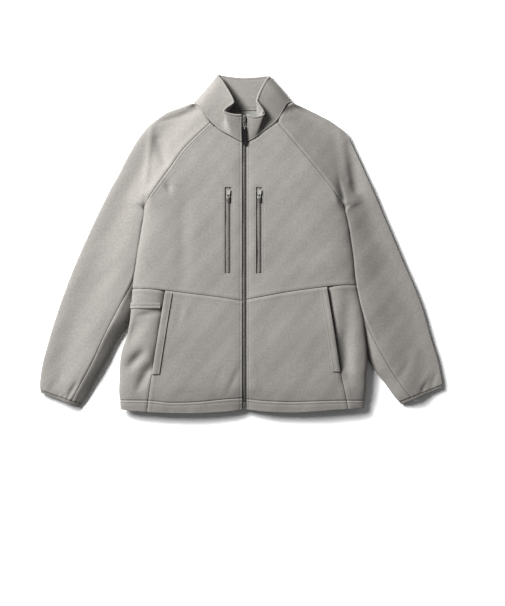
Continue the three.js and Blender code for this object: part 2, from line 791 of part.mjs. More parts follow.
// The sleeve and its under-sleeve panel share their normals round the closed part of the arm,
// so that the two walls meet edge to edge
function addSleevePieces(side) {
  const name = sideName(side);
  const closedCells = 12;
  const sleeve = [];
  const underSleeve = [];
  for (let i = 0; i <= closedCells; i += 1) {
    const row = mix(CUFF_ROW, UNDER_SLEEVE_ROW, i / closedCells);
    sleeve.push(closedSleeveRow(side, row));
    underSleeve.push(underSleeveLine(armSection(side, row)));
  }
  const rings = sleeve.map((line, i) => [...line, ...underSleeve[i].slice().reverse()]);
  const ringNormals = gridNormals(rings, side === LEFT, true);
  sleeve.push(closedSleeveRow(side, ARMPIT_ROW));
  RAGLAN_STATIONS.forEach((y) => sleeve.push(raglanSleeveRow(side, y)));
  NECK_ROWS[name].forEach((row) => sleeve.push(neckSleeveRow(side, row)));
  const sleeveNormals = gridNormals(sleeve, side === LEFT, false);
  for (let i = 0; i <= closedCells; i += 1) {
    sleeveNormals[i] = ringNormals[i].slice(0, sleeve[i].length);
  }
  const underNormals = ringNormals.map((line) => line.slice(sleeve[0].length).reverse());
  addPiece(`sleeve_${name}`, wall(sleeve, CLOTH, { flip: side === LEFT, normals: sleeveNormals }), FLEECE);
  addPiece(
    `under_sleeve_${name}`,
    wall(underSleeve, CLOTH, { flip: side === RIGHT, normals: underNormals }),
    FLEECE,
  );
}

// Distances from the inner fold for the under-sleeve panel: over the top, round and under
function underSleeveLine(arm) {
  const topCells = 4;
  const underCells = 3;
  const line = [];
  const start = arm.seam - SEAM;
  const end = arm.seam + UNDER_SEAM_OFFSET - SEAM;
  for (let i = 0; i <= topCells; i += 1) {
    const inset = start * (1 - Math.sin(i / topCells * Math.PI / 2));
    line.push(tubePoint(arm, inset, tubeTop(arm, inset)));
  }
  for (let i = 1; i <= underCells; i += 1) {
    const inset = end * (1 - Math.cos(i / underCells * Math.PI / 2));
    line.push(tubePoint(arm, inset, tubeUnder(arm, inset)));
  }
  return line;
}

function ringLine(arm) {
  const top = stopsToFold(arm.width - ARM_INNER_ROUND, ARM_OUTER_ROUND).map((d) => ARM_INNER_ROUND + d);
  const innerTop = [0, 0.3, 0.6].map((t) => ARM_INNER_ROUND * (1 - Math.cos(t * Math.PI / 2)));
  const under = stopsFromFold(arm.width - ARM_INNER_UNDER, ARM_OUTER_UNDER).map((d) => arm.width - d);
  const innerUnder = [0.33, 0.66].map((t) => ARM_INNER_UNDER * (1 - Math.sin(t * Math.PI / 2)));
  return [
    ...[...innerTop, ...top].map((inset) => tubePoint(arm, inset, tubeTop(arm, inset))),
    ...[...under, ...innerUnder].map((inset) => tubePoint(arm, inset, tubeUnder(arm, inset))),
  ];
}

function addCuffBinding(side) {
  const grid = [0, CUFF_ROW - CUFF_GAP_ROW].map((row) => ringLine(armSection(side, row)));
  const geometry = wall(grid, CLOTH, { flip: side === LEFT, wrap: true });
  addPiece(`cuff_binding_${sideName(side)}`, geometry, BINDING);
}

// Collar

function collarLine(row, cells) {
  const base = new THREE.Vector3(row.baseX, row.baseY, row.baseZ);
  const rim = new THREE.Vector3(row.rimX, row.rimY, row.rimZ);
  const middle = base.clone().add(rim).multiplyScalar(0.5);
  middle.x += row.lean;
  middle.z += row.swell;
  const curve = new THREE.QuadraticBezierCurve3(base, middle, rim);
  return curve.getPoints(cells);
}

function addCollar() {
  const cells = 5;
  const lines = COLLAR_ROWS.map((row) => collarLine(row, cells));
  const grid = lines[0].map((_, k) => lines.map((line) => line[k]));
  addPiece('collar', wall(grid, COLLAR_CLOTH, { flip: true }), FLEECE);
}

// Pieces that lie on the panels

function addWelt(side) {
  const name = sideName(side);
  const grid = patch({
    across: [
      (y) => pocketGirth(side, y) - WELT_WIDTH,
      (y) => pocketGirth(side, y) - SEAM,
    ],
    acrossCells: [2],
    up: [() => WELT_BOTTOM[name], (girth) => waistSeam(side, girth) - WELT_TOP_GAP],
    upCells: [8],
  }, (girth, y) => bodyPoint(side, girth, y));
  const raised = movedOut(grid, LAID_ON + WELT_HEIGHT, side === LEFT);
  addPiece(`pocket_welt_${name}`, wall(raised, WELT_HEIGHT, { flip: side === LEFT }), FLEECE);
}

function addSideBand() {
  const grid = patch({
    across: [
      (y) => girthOf(LEFT, SIDE_BAND.near, y),
      (y) => foldGirth(LEFT, y) + SIDE_BAND.pastFold,
    ],
    acrossCells: [9],
    up: [() => SIDE_BAND.bottom, () => SIDE_BAND.top],
    upCells: [1],
  }, (girth, y) => bodyPoint(LEFT, girth, y));
  const raised = movedOut(grid, 2 * LAID_ON + SIDE_BAND.height, true);
  addPiece('side_band_left', wall(raised, SIDE_BAND.height, { flip: true }), FLEECE);
}

function addNeckTape() {
  const z = CLOTH + LAID_ON + NECK_TAPE.cloth;
  const grid = [NECK_TAPE.bottom, NECK_TAPE.top].map((y) => [-1, 0, 1].map(
    (x) => new THREE.Vector3(x * NECK_TAPE.halfWidth, y, z),
  ));
  addPiece('neck_tape', wall(grid, NECK_TAPE.cloth), FLEECE_PALE);
}

// Zips

function zipHeight(y) {
  const collar = COLLAR_ROWS[0];
  if (y < collar.baseY) {
    return bodyTop(ZIP_EDGE, y);
  }
  return mix(collar.baseZ, collar.rimZ, (y - collar.baseY) / (collar.rimY - collar.baseY));
}

function tapeDepth(y) {
  const { hem, collar } = TAPE_DEPTH;
  const underHem = hem.extra * (1 - ease((y - hem.start) / hem.length));
  const underCollar = ease((y - collar.start) / collar.length);
  return mix(CLOTH + LAID_ON + underHem, COLLAR_CLOTH + 2 * LAID_ON, underCollar);
}

// The tape runs straight between stations, so that all that lies on it fits it
function tapeHeight(y) {
  let i = 0;
  while (i < ZIP_STATIONS.length - 2 && y > ZIP_STATIONS[i + 1]) {
    i += 1;
  }
  const [low, high] = ZIP_STATIONS.slice(i, i + 2);
  const ends = [low, high].map((station) => zipHeight(station) - tapeDepth(station));
  return mix(...ends, (y - low) / (high - low));
}

// A strip along the main zip whose top lies above the tape's top by a rise
function zipStrip(fromX, toX, fromY, toY, rise, thickness) {
  const between = ZIP_STATIONS.filter((y) => y > fromY + 1 && y < toY - 1);
  const grid = [fromY, ...between, toY].map((y) => [fromX, toX].map(
    (x) => new THREE.Vector3(x, y, tapeHeight(y) + rise),
  ));
  return wall(grid, thickness);
}

function joined(geometries) {
  const solids = geometries.map((geometry) => {
    geometry.deleteAttribute('normal');
    geometry.deleteAttribute('uv');
    const merged = mergeVertices(geometry, MERGE_DISTANCE);
    const vertProperties = new Float32Array(merged.attributes.position.array);
    const triVerts = new Uint32Array(merged.index.array);
    return new wasm.Manifold(new wasm.Mesh({ numProp: 3, vertProperties, triVerts }));
  });
  const mesh = solids.reduce((whole, next) => whole.add(next)).getMesh();
  const geometry = new THREE.BufferGeometry();
  geometry.setAttribute('position', new THREE.Float32BufferAttribute(mesh.vertProperties, 3));
  geometry.setIndex(Array.from(mesh.triVerts));
  return geometry;
}

function roundedOutline(halfBottom, halfTop, bottom, top, corner) {
  const shape = new THREE.Shape();
  shape.moveTo(-halfBottom + corner, bottom);
  shape.lineTo(halfBottom - corner, bottom);
  shape.quadraticCurveTo(halfBottom, bottom, halfBottom, bottom + corner);
  shape.lineTo(halfTop, top - corner);
  shape.quadraticCurveTo(halfTop, top, halfTop - corner, top);
  shape.lineTo(-halfTop + corner, top);
  shape.quadraticCurveTo(-halfTop, top, -halfTop, top - corner);
  shape.lineTo(-halfBottom, bottom + corner);
  shape.quadraticCurveTo(-halfBottom, bottom, -halfBottom + corner, bottom);
  return shape;
}

function thickened(shape, depth) {
  return new THREE.ExtrudeGeometry(shape, { depth, bevelEnabled: false, curveSegments: 4 });
}

// The slider: a plate wider at the top, with an open bridge along it that holds the pull
function sliderGeometry(size) {
  const plate = thickened(
    roundedOutline(
      size.width * SLIDER_NARROW_SHARE,
      size.width / 2,
      -size.length / 2,
      size.length / 2,
      SLIDER_CORNER,
    ),
    size.plate,
  );
  const half = size.bridgeLength / 2;
  const height = size.bridgeHeight;
  const bridge = new THREE.Shape();
  bridge.moveTo(-half, -BRIDGE_ROOT);
  bridge.lineTo(-half, height - BRIDGE_CORNER);
  bridge.quadraticCurveTo(-half, height, -half + BRIDGE_CORNER, height);
  bridge.lineTo(half - BRIDGE_CORNER, height);
  bridge.quadraticCurveTo(half, height, half, height - BRIDGE_CORNER);
  bridge.lineTo(half, -BRIDGE_ROOT);
  bridge.lineTo(half - BRIDGE_WALL, -BRIDGE_ROOT);
  bridge.lineTo(half - BRIDGE_WALL, height - BRIDGE_WALL);
  bridge.lineTo(-half + BRIDGE_WALL, height - BRIDGE_WALL);
  bridge.lineTo(-half + BRIDGE_WALL, -BRIDGE_ROOT);
  const arch = thickened(bridge, size.bridgeWidth);
  arch.rotateX(Math.PI / 2);
  arch.rotateZ(Math.PI / 2);
  arch.translate(-size.bridgeWidth / 2, 0, size.plate);
  return joined([plate, arch]);
}

// The pull: a link round the bridge's rod at the origin, and a tab beyond it towards -Y
function pullGeometry(size) {
  const half = size.linkWidth / 2;
  const link = roundedOutline(half, half, -size.linkLength, size.rod / 2, LINK_CORNER);
  const hole = new THREE.Path();
  const side = size.linkHole / 2;
  hole.moveTo(-side, -size.rod / 2);
  hole.lineTo(-side, -size.linkLength + size.rod);
  hole.lineTo(side, -size.linkLength + size.rod);
  hole.lineTo(side, -size.rod / 2);
  hole.closePath();
  link.holes.push(hole);
  const ring = thickened(link, size.rod);
  ring.translate(0, 0, -size.rod / 2);
  const end = -size.linkLength - size.tabLength;
  const tab = thickened(
    roundedOutline(
      size.tabWidth / 2,
      size.tabTop / 2,
      end,
      -size.linkLength + size.rod / 2,
      TAB_CORNER,
    ),
    size.tabHeight,
  );
  tab.translate(0, 0, -size.tabHeight / 2);
  return joined([ring, tab]);
}

function addSlider(name, size, x, floorZ, slope) {
  const stand = new THREE.Group();
  stand.position.set(x, size.y, floorZ + LAID_ON);
  stand.rotation.x = slope;
  jacket.add(stand);
  addPiece(`${name}_slider`, sliderGeometry(size), METAL, stand);
  return stand;
}

function addPull(name, size, finish, stand) {
  const pull = addPiece(`${name}_pull`, pullGeometry(size), finish, stand);
  pull.position.set(0, size.pivotY, size.pivotZ);
  pull.rotation.set(size.pitch, 0, size.turned ? Math.PI : 0);
}

function addMainZip() {
  const [bottom, top] = MAIN_ZIP.ends;
  const half = MAIN_ZIP.tapeHalfWidth;
  const rise = LAID_ON + CHAIN_HEIGHT;
  addPiece('main_zip_tape_left', zipStrip(-half, -LAID_ON / 2, bottom, top, 0, TAPE_CLOTH), TAPE);
  addPiece('main_zip_tape_right', zipStrip(LAID_ON / 2, half, bottom, top, 0, TAPE_CLOTH), TAPE);
  const chainFrom = MAIN_ZIP.stopTop + LAID_ON;
  const chain = zipStrip(-CHAIN_WIDTH / 2, CHAIN_WIDTH / 2, chainFrom, top, rise, CHAIN_HEIGHT);
  addPiece('main_zip_chain', chain, COIL);
  const stopHalf = MAIN_ZIP.stopWidth / 2;
  const stopHeight = MAIN_ZIP.stopHeight;
  const stop = zipStrip(-stopHalf, stopHalf, bottom, MAIN_ZIP.stopTop, LAID_ON + stopHeight, stopHeight);
  addPiece('main_zip_stop', stop, METAL);
  const collar = COLLAR_ROWS[0];
  const slope = Math.atan2(collar.rimZ - collar.baseZ, collar.rimY - collar.baseY);
  const stand = addSlider('main_zip', MAIN_SLIDER, 0, tapeHeight(MAIN_SLIDER.y) + rise, slope);
  addPull('main_zip', MAIN_PULL, TAB_BLACK, stand);
}

function addChestZip(side) {
  const name = sideName(side);
  const slot = CHEST_SLOT[name];
  const middle = (slot.near + slot.far) / 2;
  const strip = (half, bottom, top, outward) => {
    const grid = patch({
      across: [() => middle - half, () => middle + half],
      acrossCells: [1],
      up: [() => bottom, () => top],
      upCells: [8],
    }, (girth, y) => bodyPoint(side, girth, y));
    return movedOut(grid, outward, side === LEFT);
  };
  const flip = side === LEFT;
  const tapeDrop = -(CLOTH + LAID_ON);
  const chainTop = tapeDrop + LAID_ON + CHAIN_HEIGHT;
  const tapeHalf = (slot.far - slot.near) / 2 + CHEST_ZIP.tapeUnderlap;
  const tape = strip(
    tapeHalf,
    CHEST_ZIP_BOTTOM - CHEST_ZIP.tapeBeyond,
    CHEST_ZIP_TOP + CHEST_ZIP.tapeBeyond,
    tapeDrop,
  );
  const chain = strip(
    CHEST_ZIP.chainWidth / 2,
    CHEST_ZIP_BOTTOM + CHEST_ZIP.chainShort,
    CHEST_ZIP_TOP - CHEST_ZIP.chainShort,
    chainTop,
  );
  addPiece(`chest_zip_tape_${name}`, wall(tape, TAPE_CLOTH, { flip }), TAPE);
  addPiece(`chest_zip_chain_${name}`, wall(chain, CHAIN_HEIGHT, { flip }), COIL);
  const floorZ = frontHeight(side, side * middle, CHEST_SLIDER.y) + chainTop;
  const stand = addSlider(`chest_zip_${name}`, CHEST_SLIDER, side * middle, floorZ, 0);
  addPull(`chest_zip_${name}`, CHEST_PULL, TAB_PALE, stand);
}

addChestPanel(LEFT);
addChestPanel(RIGHT);
addLowerPanel(LEFT);
addLowerPanel(RIGHT);
addSidePanel(LEFT);
addSidePanel(RIGHT);
addBackPanel();
addSleevePieces(LEFT);
addSleevePieces(RIGHT);
addCuffBinding(LEFT);
addCuffBinding(RIGHT);
addCollar();
addWelt(LEFT);
addWelt(RIGHT);
addSideBand();
addNeckTape();
addMainZip();
addChestZip(LEFT);
addChestZip(RIGHT);

// The origin is the middle of the jacket's box, on the surface that it lies on
const box = new THREE.Box3().setFromObject(jacket);
jacket.position.set(-(box.min.x + box.max.x) / 2, -(box.min.y + box.max.y) / 2, -box.min.z);

export default jacket;
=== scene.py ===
import math

import bmesh
import bpy
import numpy as np
from mathutils import Matrix, Vector


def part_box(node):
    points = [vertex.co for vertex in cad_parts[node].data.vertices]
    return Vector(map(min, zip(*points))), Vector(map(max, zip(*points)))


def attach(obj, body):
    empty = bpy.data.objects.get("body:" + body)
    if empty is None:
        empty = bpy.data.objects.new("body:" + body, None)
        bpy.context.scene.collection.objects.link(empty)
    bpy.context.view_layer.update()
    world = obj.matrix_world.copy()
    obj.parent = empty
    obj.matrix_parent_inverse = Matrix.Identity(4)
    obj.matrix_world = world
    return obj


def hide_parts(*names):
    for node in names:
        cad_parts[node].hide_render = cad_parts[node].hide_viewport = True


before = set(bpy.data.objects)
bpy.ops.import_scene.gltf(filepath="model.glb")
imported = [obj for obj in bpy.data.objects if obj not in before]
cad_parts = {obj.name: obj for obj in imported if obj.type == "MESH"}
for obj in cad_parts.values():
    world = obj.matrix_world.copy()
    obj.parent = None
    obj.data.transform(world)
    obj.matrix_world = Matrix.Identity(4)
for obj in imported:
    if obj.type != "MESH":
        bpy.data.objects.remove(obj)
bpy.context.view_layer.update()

# A fleece jacket with a full zip and raglan sleeves, laid flat with its front up.
# It is drawn in millimetres with X = 0 on the zip line and Y = 0 at the front hem, Z up from the surface,
# and each finished mesh is then put in the frame's place in metres. Left and right are the viewer's.

MM = 0.001
SIGN = {"left": -1.0, "right": 1.0}
CHAIN_LOW, CHAIN_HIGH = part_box("main_zip_chain")
ZIP_TOP = 677.0
ORIGIN = np.array([(CHAIN_LOW.x + CHAIN_HIGH.x) / 2, CHAIN_HIGH.y - ZIP_TOP * MM, 0.0])

# Cloth, and the gaps between its pieces
CLOTH = 2.5
COLLAR_CLOTH = 4.0
TAPE_CLOTH = 0.9
NECK_TAPE_CLOTH = 1.0
LEAST_WALL = 0.7
SEAM = 0.25
LAID_ON = 0.3

# The mesh's plain cell, the distances of the closer lines beside a seam, and how many of them a line takes
CELL = 4.0
EDGE_STOPS = np.array([0, 0.35, 0.9, 1.6, 2.5, 3.6, 4.8, 6.0, 7.2, 9.0, 11.5])
ALL = 11
SOME = 9
ONE = 1

# Stitch lines, each by its distance from a seam or an edge. EDGE_STOPS has each of these distances
ZIP_STITCH = 4.8
SEAM_STITCH = 6.0
SLOT_STITCH = 2.5
WELT_STITCH = 3.6
HEM_SECOND_STITCH = 4.8
STITCH_SINK = 0.55
STITCH_SINK_WIDTH = 1.1
STITCH_PITCH = 3.3
STITCH_LIFT = 0.12
STITCH_SIZE = (0.42, 0.34, 1.3)

# The rolled cloth beside a seam, and the share of it that each seam shows
ROLL_DEPTH = 1.1
ROLL_WIDTH = 3.0
PUFF = 0.35
PUFF_PLACE = 6.5
PUFF_WIDTH = 3.2
NECK_ROLL = 0.35
CHEST_NECK_ROLL = 0.8
WAIST_ROLL = 1.3
RAGLAN_ROLL = 0.6
NECK_UNDERLAP = 1.5

# The pocket mouth's hollow, and the turned hem as heights: rise, place below its stitch line, width
MOUTH_DIP = 6.0
MOUTH_WIDTH = 8.0
MOUTH_BROAD_DIP = 1.2
MOUTH_BROAD_WIDTH = 24.0
HEM_PROFILE = ((-1.4, 0.0, 1.5), (0.3, 3.2, 2.4), (-0.45, 5.6, 1.0), (0.4, 11.0, 5.0))

# Unevenness, as waves by their rise, rates along X and Y and phase, and how it and the creases fade
WAVES = (
    (0.45, 0.041, 0.017, 0.4),
    (0.35, -0.022, 0.052, 1.9),
    (0.28, 0.071, -0.044, 3.1),
    (0.16, 0.115, 0.098, 0.9),
    (0.13, -0.143, 0.121, 4.4),
)
CREASE_END = 0.55
RELIEF_START = 6.0
RELIEF_LENGTH = 10.0

# The body's rounded sides
SIDE_ROUND = 62.0
SIDE_ROUND_LENGTH = 69.0
SIDE_POWER = 2.4
UNDER_ROUND = 34.0
UNDER_ROUND_LENGTH = 44.0
UNDER_POWER = 1.15
SIDE_SEAM_SHARE = 0.72
HEM_LIFT_LENGTH = 60.0
UNDER_FLAT_START = 444.0
UNDER_FLAT_LENGTH = 14.0
ARMPIT_LOW = 450.0
ARMPIT_HIGH = 482.0
ARMPIT_MIDDLE = 468.0
ARMPIT_SLACK = 24.0
ARMPIT_SLACK_SHARE = 0.9
VALLEY_FLOOR = 15.0
RIDGE_INSIDE = 16.0
RIDGE_WIDTH = 30.0

# The sleeves' rounded folds
ARM_TUCK = 14.0
ARM_INNER_FOLD = 7.0
ARM_INNER_ROUND = 34.0
ARM_INNER_POWER = 1.3
ARM_INNER_UNDER = 10.0
ARM_OUTER_FOLD = 10.0
ARM_OUTER_ROUND = 42.0
ARM_OUTER_UNDER = 16.0
OUTER_FLAT = {"left": 34.0, "right": 20.0}
OUTER_LEVEL = {"left": 15.0, "right": 11.0}
OUTER_TURN = 20.0
SLOPE_SHARE = {"left": 0.64, "right": 0.8}
SLOPE_BLEND = 5.0
SLEEVE_TOP = 33.0
CREST_RAISE = 4.0
CUFF_CREST = 20.0
BESIDE_BODY = {"left": 20.0, "right": 36.0}
BESIDE_BODY_LENGTH = 64.0
ARMPIT_ROUND = 18.0
CUFF_ROW = 0.32
CUFF_GAP_ROW = 0.02
ARMPIT_ROW = 9.0
UNDER_SLEEVE_ROW = 8.7
UNDER_SLEEVE_NARROW = 12.0
UNDER_SLEEVE_STOPS = 16
UNDER_SEAM_OFFSET = 2.0
RAGLAN_CREST = 26.0
NECK_CREST = 20.0
BLOCK_START = 446.0
BLOCK_LENGTH = 26.0
TOP_ROUND_SHARE = 0.45
UNDER_ROUND_SHARE = 0.3
CREST_BLEND = 6.0
SEAM_FIT_LENGTH = 14.0
RAGLAN_STATIONS = np.linspace(458, 661, 56)
SLEEVE_CELLS = {"top": 18, "fold": 14, "under_fold": 5, "under": 8}
PUCKER_DEPTH = 0.9
PUCKER_REACH = 9.0
BINDING_STITCH_ROW = 10

# The collar's grid, its beads and its dents inside
COLLAR_COLUMNS = 209
COLLAR_HEIGHT = 68.0
COLLAR_CELLS = 12
COLLAR_SEAM_ROWS = (4, 7)
COLLAR_MIDDLE_ROW = 20
COLLAR_BACK_COLUMN = 100
COLLAR_BACK = (9.6, 16.4)
RIM_BEAD = 0.8
RIM_BEAD_PLACE = 2.6
RIM_BEAD_WIDTH = 2.4
BASE_BEAD = 0.9
BASE_BEAD_PLACE = 2.0
BASE_BEAD_WIDTH = 1.6
INNER_DENT = 0.5

# The zips
ZIP_EDGE = 5.0
ZIP_DIP = 1.5
ZIP_DIP_WIDTH = 16.0
ZIP_BOTTOM = 2.0
STOP_TOP = 19.0
TAPE_HALF = 13.0
CHAIN_HEIGHT = 2.0
CHEST_ZIP_BOTTOM = 314.0
CHEST_ZIP_TOP = 512.0
CHEST_TAPE_UNDERLAP = 5.0
CHEST_TAPE_BEYOND = 6.0
CHEST_CHAIN_SHORT = 2.0
ZIP_STATIONS = np.array([
    2, 19, 35, 50, 65, 85, 110, 140, 180, 230, 290, 350, 410, 470, 530, 570, 598, 612, 628, 652, 677,
], float)
SLOT_NEAR = {"left": 30.0, "right": 27.0}
SLOT_FAR = {"left": 45.0, "right": 41.0}
WELT_WIDTH = 18.0
WELT_HEIGHT = 2.2
WELT_BOTTOM = {"left": 82.0, "right": 88.0}
WELT_TOP_GAP = 4.0
TAPE_HEM_DROP = 1.2
TAPE_HEM_TOP = 40.0
TAPE_HEM_LENGTH = 30.0
TAPE_COLLAR_START = 598.0
TAPE_COLLAR_LENGTH = 14.0
MAIN_CORE = (-2.3, -1.6, 1.6, 2.3)
CHEST_CORE_HALF = 1.9
MAIN_COIL = {
    "tooth": (2.35, 0.95, 1.25), "pitch": 1.45, "reach": 1.12, "rise": 1.3, "core_rise": 0.9, "core": 0.8,
}
CHEST_COIL = {
    "tooth": (2.05, 0.85, 1.1), "pitch": 1.3, "reach": 0.98, "rise": 1.1, "core_rise": 0.8, "core": 0.7,
}

# Sliders and pulls
MAIN_SLIDER_Y = 668.5
CHEST_SLIDER_Y = 485.0
MAIN_SLIDER = {
    "width": 8.6, "length": 16, "plate": 2.2, "bridge_length": 11, "bridge_height": 4.2, "bridge_width": 2.6,
}
CHEST_SLIDER = {
    "width": 8, "length": 15, "plate": 1.8, "bridge_length": 8.6, "bridge_height": 3.6, "bridge_width": 2.2,
}
MAIN_PULL = {
    "link_width": 7.0, "link_length": 16, "rod": 1.4,
    "tab_width": 8.8, "tab_top": 7.4, "tab_length": 41, "tab_height": 2.6,
}
CHEST_PULL = {
    "link_width": 6.4, "link_length": 9, "rod": 1.2,
    "tab_width": 10.6, "tab_top": 8.6, "tab_length": 11, "tab_height": 1.8,
}
MAIN_PIVOT = (0, -2.6, 3.4)
MAIN_PULL_DROOP = 0.06
CHEST_PIVOT = (0, 1.8, 2.9)
CHEST_PULL_DROOP = 0.05
RIVET = {"radius": 1.5, "height": 3.1, "y": -19.5}
RIB_SIZE = (4.6, 1.1, 3.0)
RIB_START = -27.0
RIB_PITCH = 3.2
RIB_COUNT = 8
BOX_WIDTH = 8.0
BOX_HEIGHT = 3.0
PIN_SIZE = (1.6, 15, 0.7)
PIN_PLACE = (0, 0.6, 1.65)

# Finishes that don't come from a node group
NAPPED = {"Roughness": 0.95, "Specular IOR Level": 0.15, "Sheen Weight": 0.12, "Sheen Roughness": 0.5}
WOVEN = {"Roughness": 0.85, "Specular IOR Level": 0.25, "Sheen Weight": 0.08}
MATT_WHITE = {"Base Color": (1.0, 1.0, 1.0, 1), "Roughness": 1.0, "Specular IOR Level": 0.0}

# The photo's frame and the light
PHOTO_WIDTH = 505
PHOTO_HEIGHT = 606
PIXEL = 2.3 * MM
ZIP_PIXEL = 244.5
HEM_PIXEL = 410.0
CAMERA_HEIGHT = 7.0
CLOTH_LEVEL = 0.03
SENSOR = 36.0
AMBIENT = 0.2
GAMMA = 0.85
FLOOR_SIZE = 60.0
FLOOR_LEVEL = -0.0004
KEY_PLACE = (-1.38, 1.12, 1.28)
KEY_STRENGTH = 4.35
KEY_ANGLE = 30.0
SOFTBOX_PLACE = (-1.15, 0.9, 1.1)
SOFTBOX_SIZE = 0.5
SOFTBOX_POWER = 34.0


def table(columns, rows):
    return dict(zip(columns.split(), np.array(rows, float).T))


def read(rows, along, column, place):
    """A table's column read as a smooth curve along another of its columns."""
    keys = rows[along]
    values = rows[column]
    last = len(keys) - 1
    index = np.arange(last + 1)
    low = np.maximum(index - 1, 0)
    high = np.minimum(index + 1, last)
    slope = (values[high] - values[low]) / (keys[high] - keys[low])
    at = np.clip(place, keys[0], keys[last])
    i = np.clip(np.searchsorted(keys, at, side="left") - 1, 0, last - 1)
    span = keys[i + 1] - keys[i]
    t = (at - keys[i]) / span
    rise = t * t * (3 - 2 * t)
    leave = t * (1 - t) * (1 - t) * span * slope[i]
    arrive = t * t * (t - 1) * span * slope[i + 1]
    return mix(values[i], values[i + 1], rise) + leave + arrive


def mix(a, b, t):
    return a + (b - a) * t


def ease(t):
    c = np.clip(t, 0, 1)
    return c * c * (3 - 2 * c)


def swell(t, power):
    return (1 - (1 - np.clip(t, 0, 1)) ** power) ** (1 / power)


def bell(distance, width):
    return np.exp(-((distance / width) ** 2))


# The body by its place up the front: half widths, height of the top and of the side fold
BODY = table("y left right top fold", [
    [-10, 286, 276, 24, 13],
    [8, 285, 276, 27, 15],
    [43, 289, 279, 33, 19],
    [72, 288, 280, 35, 21],
    [127, 284, 282, 37, 23],
    [173, 271, 278, 38, 24],
    [218, 263, 272, 38, 24],
    [298, 256, 256, 38, 24],
    [360, 247, 250, 39, 24],
    [437, 235, 237, 39, 24],
    [515, 227, 218, 39, 24],
    [586, 221, 210, 37, 24],
    [650, 213, 199, 34, 22],
    [710, 196, 186, 29, 16],
])

# By distance from the zip: the hem's edge, its lift, its upper stitch line, and the waist seam
HEM = table("x left right lift", [
    [0, 1, 1, -9],
    [45, -5, -4, -3],
    [110, -8, -7, 0],
    [175, -8, -3, 1],
    [225, -5, 1, 0],
    [285, 1, 5, -2],
])
HEM_STITCH = table("x left right", [
    [0, 27, 25],
    [44, 24, 20.5],
    [110, 18, 18],
    [172, 16.5, 20],
    [219, 21, 21],
    [285, 22, 21],
])
WAIST_SEAM = table("x left right", [
    [0, 250, 253],
    [48, 258, 262],
    [110, 266, 273],
    [184, 275, 283],
    [221, 279, 287],
    [280, 279, 286],
])
NECK_SEAM = table("x left right", [
    [0, 613, 613],
    [10, 616, 616],
    [29, 626, 626],
    [54, 640, 644],
    [79, 660, 662],
])
RAGLAN_SEAM = table("y left right", [
    [482, 225, 221],
    [519, 200, 195],
    [560, 170, 162],
    [605, 137, 124],
    [661, 79, 77],
])
POCKET_LINE = table("y left right", [
    [-8, 225, 241],
    [27, 221, 234],
    [84, 213, 222],
    [180, 198, 207],
    [290, 180, 189],
])
SIDE_BAND = {
    "bottom": 233.7, "middle": 240.0, "top": 246.6, "near": 193.0, "past_fold": 12.0, "height": 1.6,
}

# Broad folds of the front, which the solids have too
FRONT_FOLDS = table("x y heading length width height", [
    [-190, 598, 95, 50, 15, -4],
    [-139, 391, 88, 95, 16, -2.5],
    [-246, 186, 62, 40, 13, -5],
    [-252, 116, 42, 26, 12, -5],
    [-231, 76, 64, 30, 12, -4],
    [233, 130, 98, 42, 13, -4],
    [150, 330, 20, 90, 26, 1.5],
])

# Creases, each from one end to the other: its width and its height
CREASES = table("x1 y1 x2 y2 width height", [
    [-200, 662, -112, 688, 6, -2.2],
    [-176, 521, -170, 508, 7, -1.5],
    [-185, 572, -199, 620, 11, -8.0],
    [-229, 500, -214, 650, 7, 3.4],
    [-172, 498, -178, 520, 7, -2.4],
    [-162, 470, -150, 400, 22, -1.2],
    [-136, 640, -104, 560, 20, 0.8],
    [-60, 560, -38, 520, 12, -0.6],
    [-196, 226, -246, 216, 7, -2.6],
    [-248, 212, -262, 164, 9, -3.4],
    [-262, 100, -236, 131, 8, -3.6],
    [-216, 100, -246, 46, 8, -3.2],
    [-226, 150, -214, 110, 9, 1.6],
    [-146, 232, -158, 190, 9, -1.1],
    [-132, 236, -138, 210, 7, 0.7],
    [-36, 40, -16, 90, 5, -1.0],
    [-56, 34, -24, 96, 7, 0.8],
    [-70, 50, -50, 96, 7, -0.6],
    [-150, 40, -118, 38, 7, -0.7],
    [230, 166, 241, 92, 8, -1.8],
    [232, 70, 238, 262, 17, -5.5],
    [176, 190, 150, 60, 20, -0.7],
    [60, 200, 40, 80, 16, -0.5],
    [26, 130, 40, 60, 7, -0.6],
    [120, 470, 176, 400, 24, 0.8],
    [98, 610, 130, 560, 14, -0.7],
    [150, 590, 190, 520, 10, -0.9],
    [60, 340, 96, 300, 14, -0.6],
    [-406, 30, -388, 60, 6, -3.4],
    [-446, 44, -440, 60, 5, -1.2],
    [-396, 48, -414, 70, 6, 1.0],
    [-430, 62, -420, 92, 7, -0.8],
    [441, 82, 432, 54, 5, -3.6],
    [420, 62, 408, 40, 5, -2.4],
    [430, 96, 412, 60, 8, 1.6],
    [352, 70, 380, 110, 9, -1.6],
    [384, 96, 402, 140, 12, 1.0],
    [-300, 330, -352, 280, 16, -1.0],
    [-330, 380, -372, 346, 12, 0.8],
    [-372, 200, -420, 168, 14, -0.8],
    [242, 608, 262, 512, 13, -11.0],
    [220, 640, 243, 530, 8, 2.6],
    [262, 600, 276, 480, 12, -1.5],
    [310, 330, 356, 290, 15, -1.0],
    [330, 250, 372, 214, 12, 0.8],
    [286, 420, 312, 380, 12, -0.9],
])

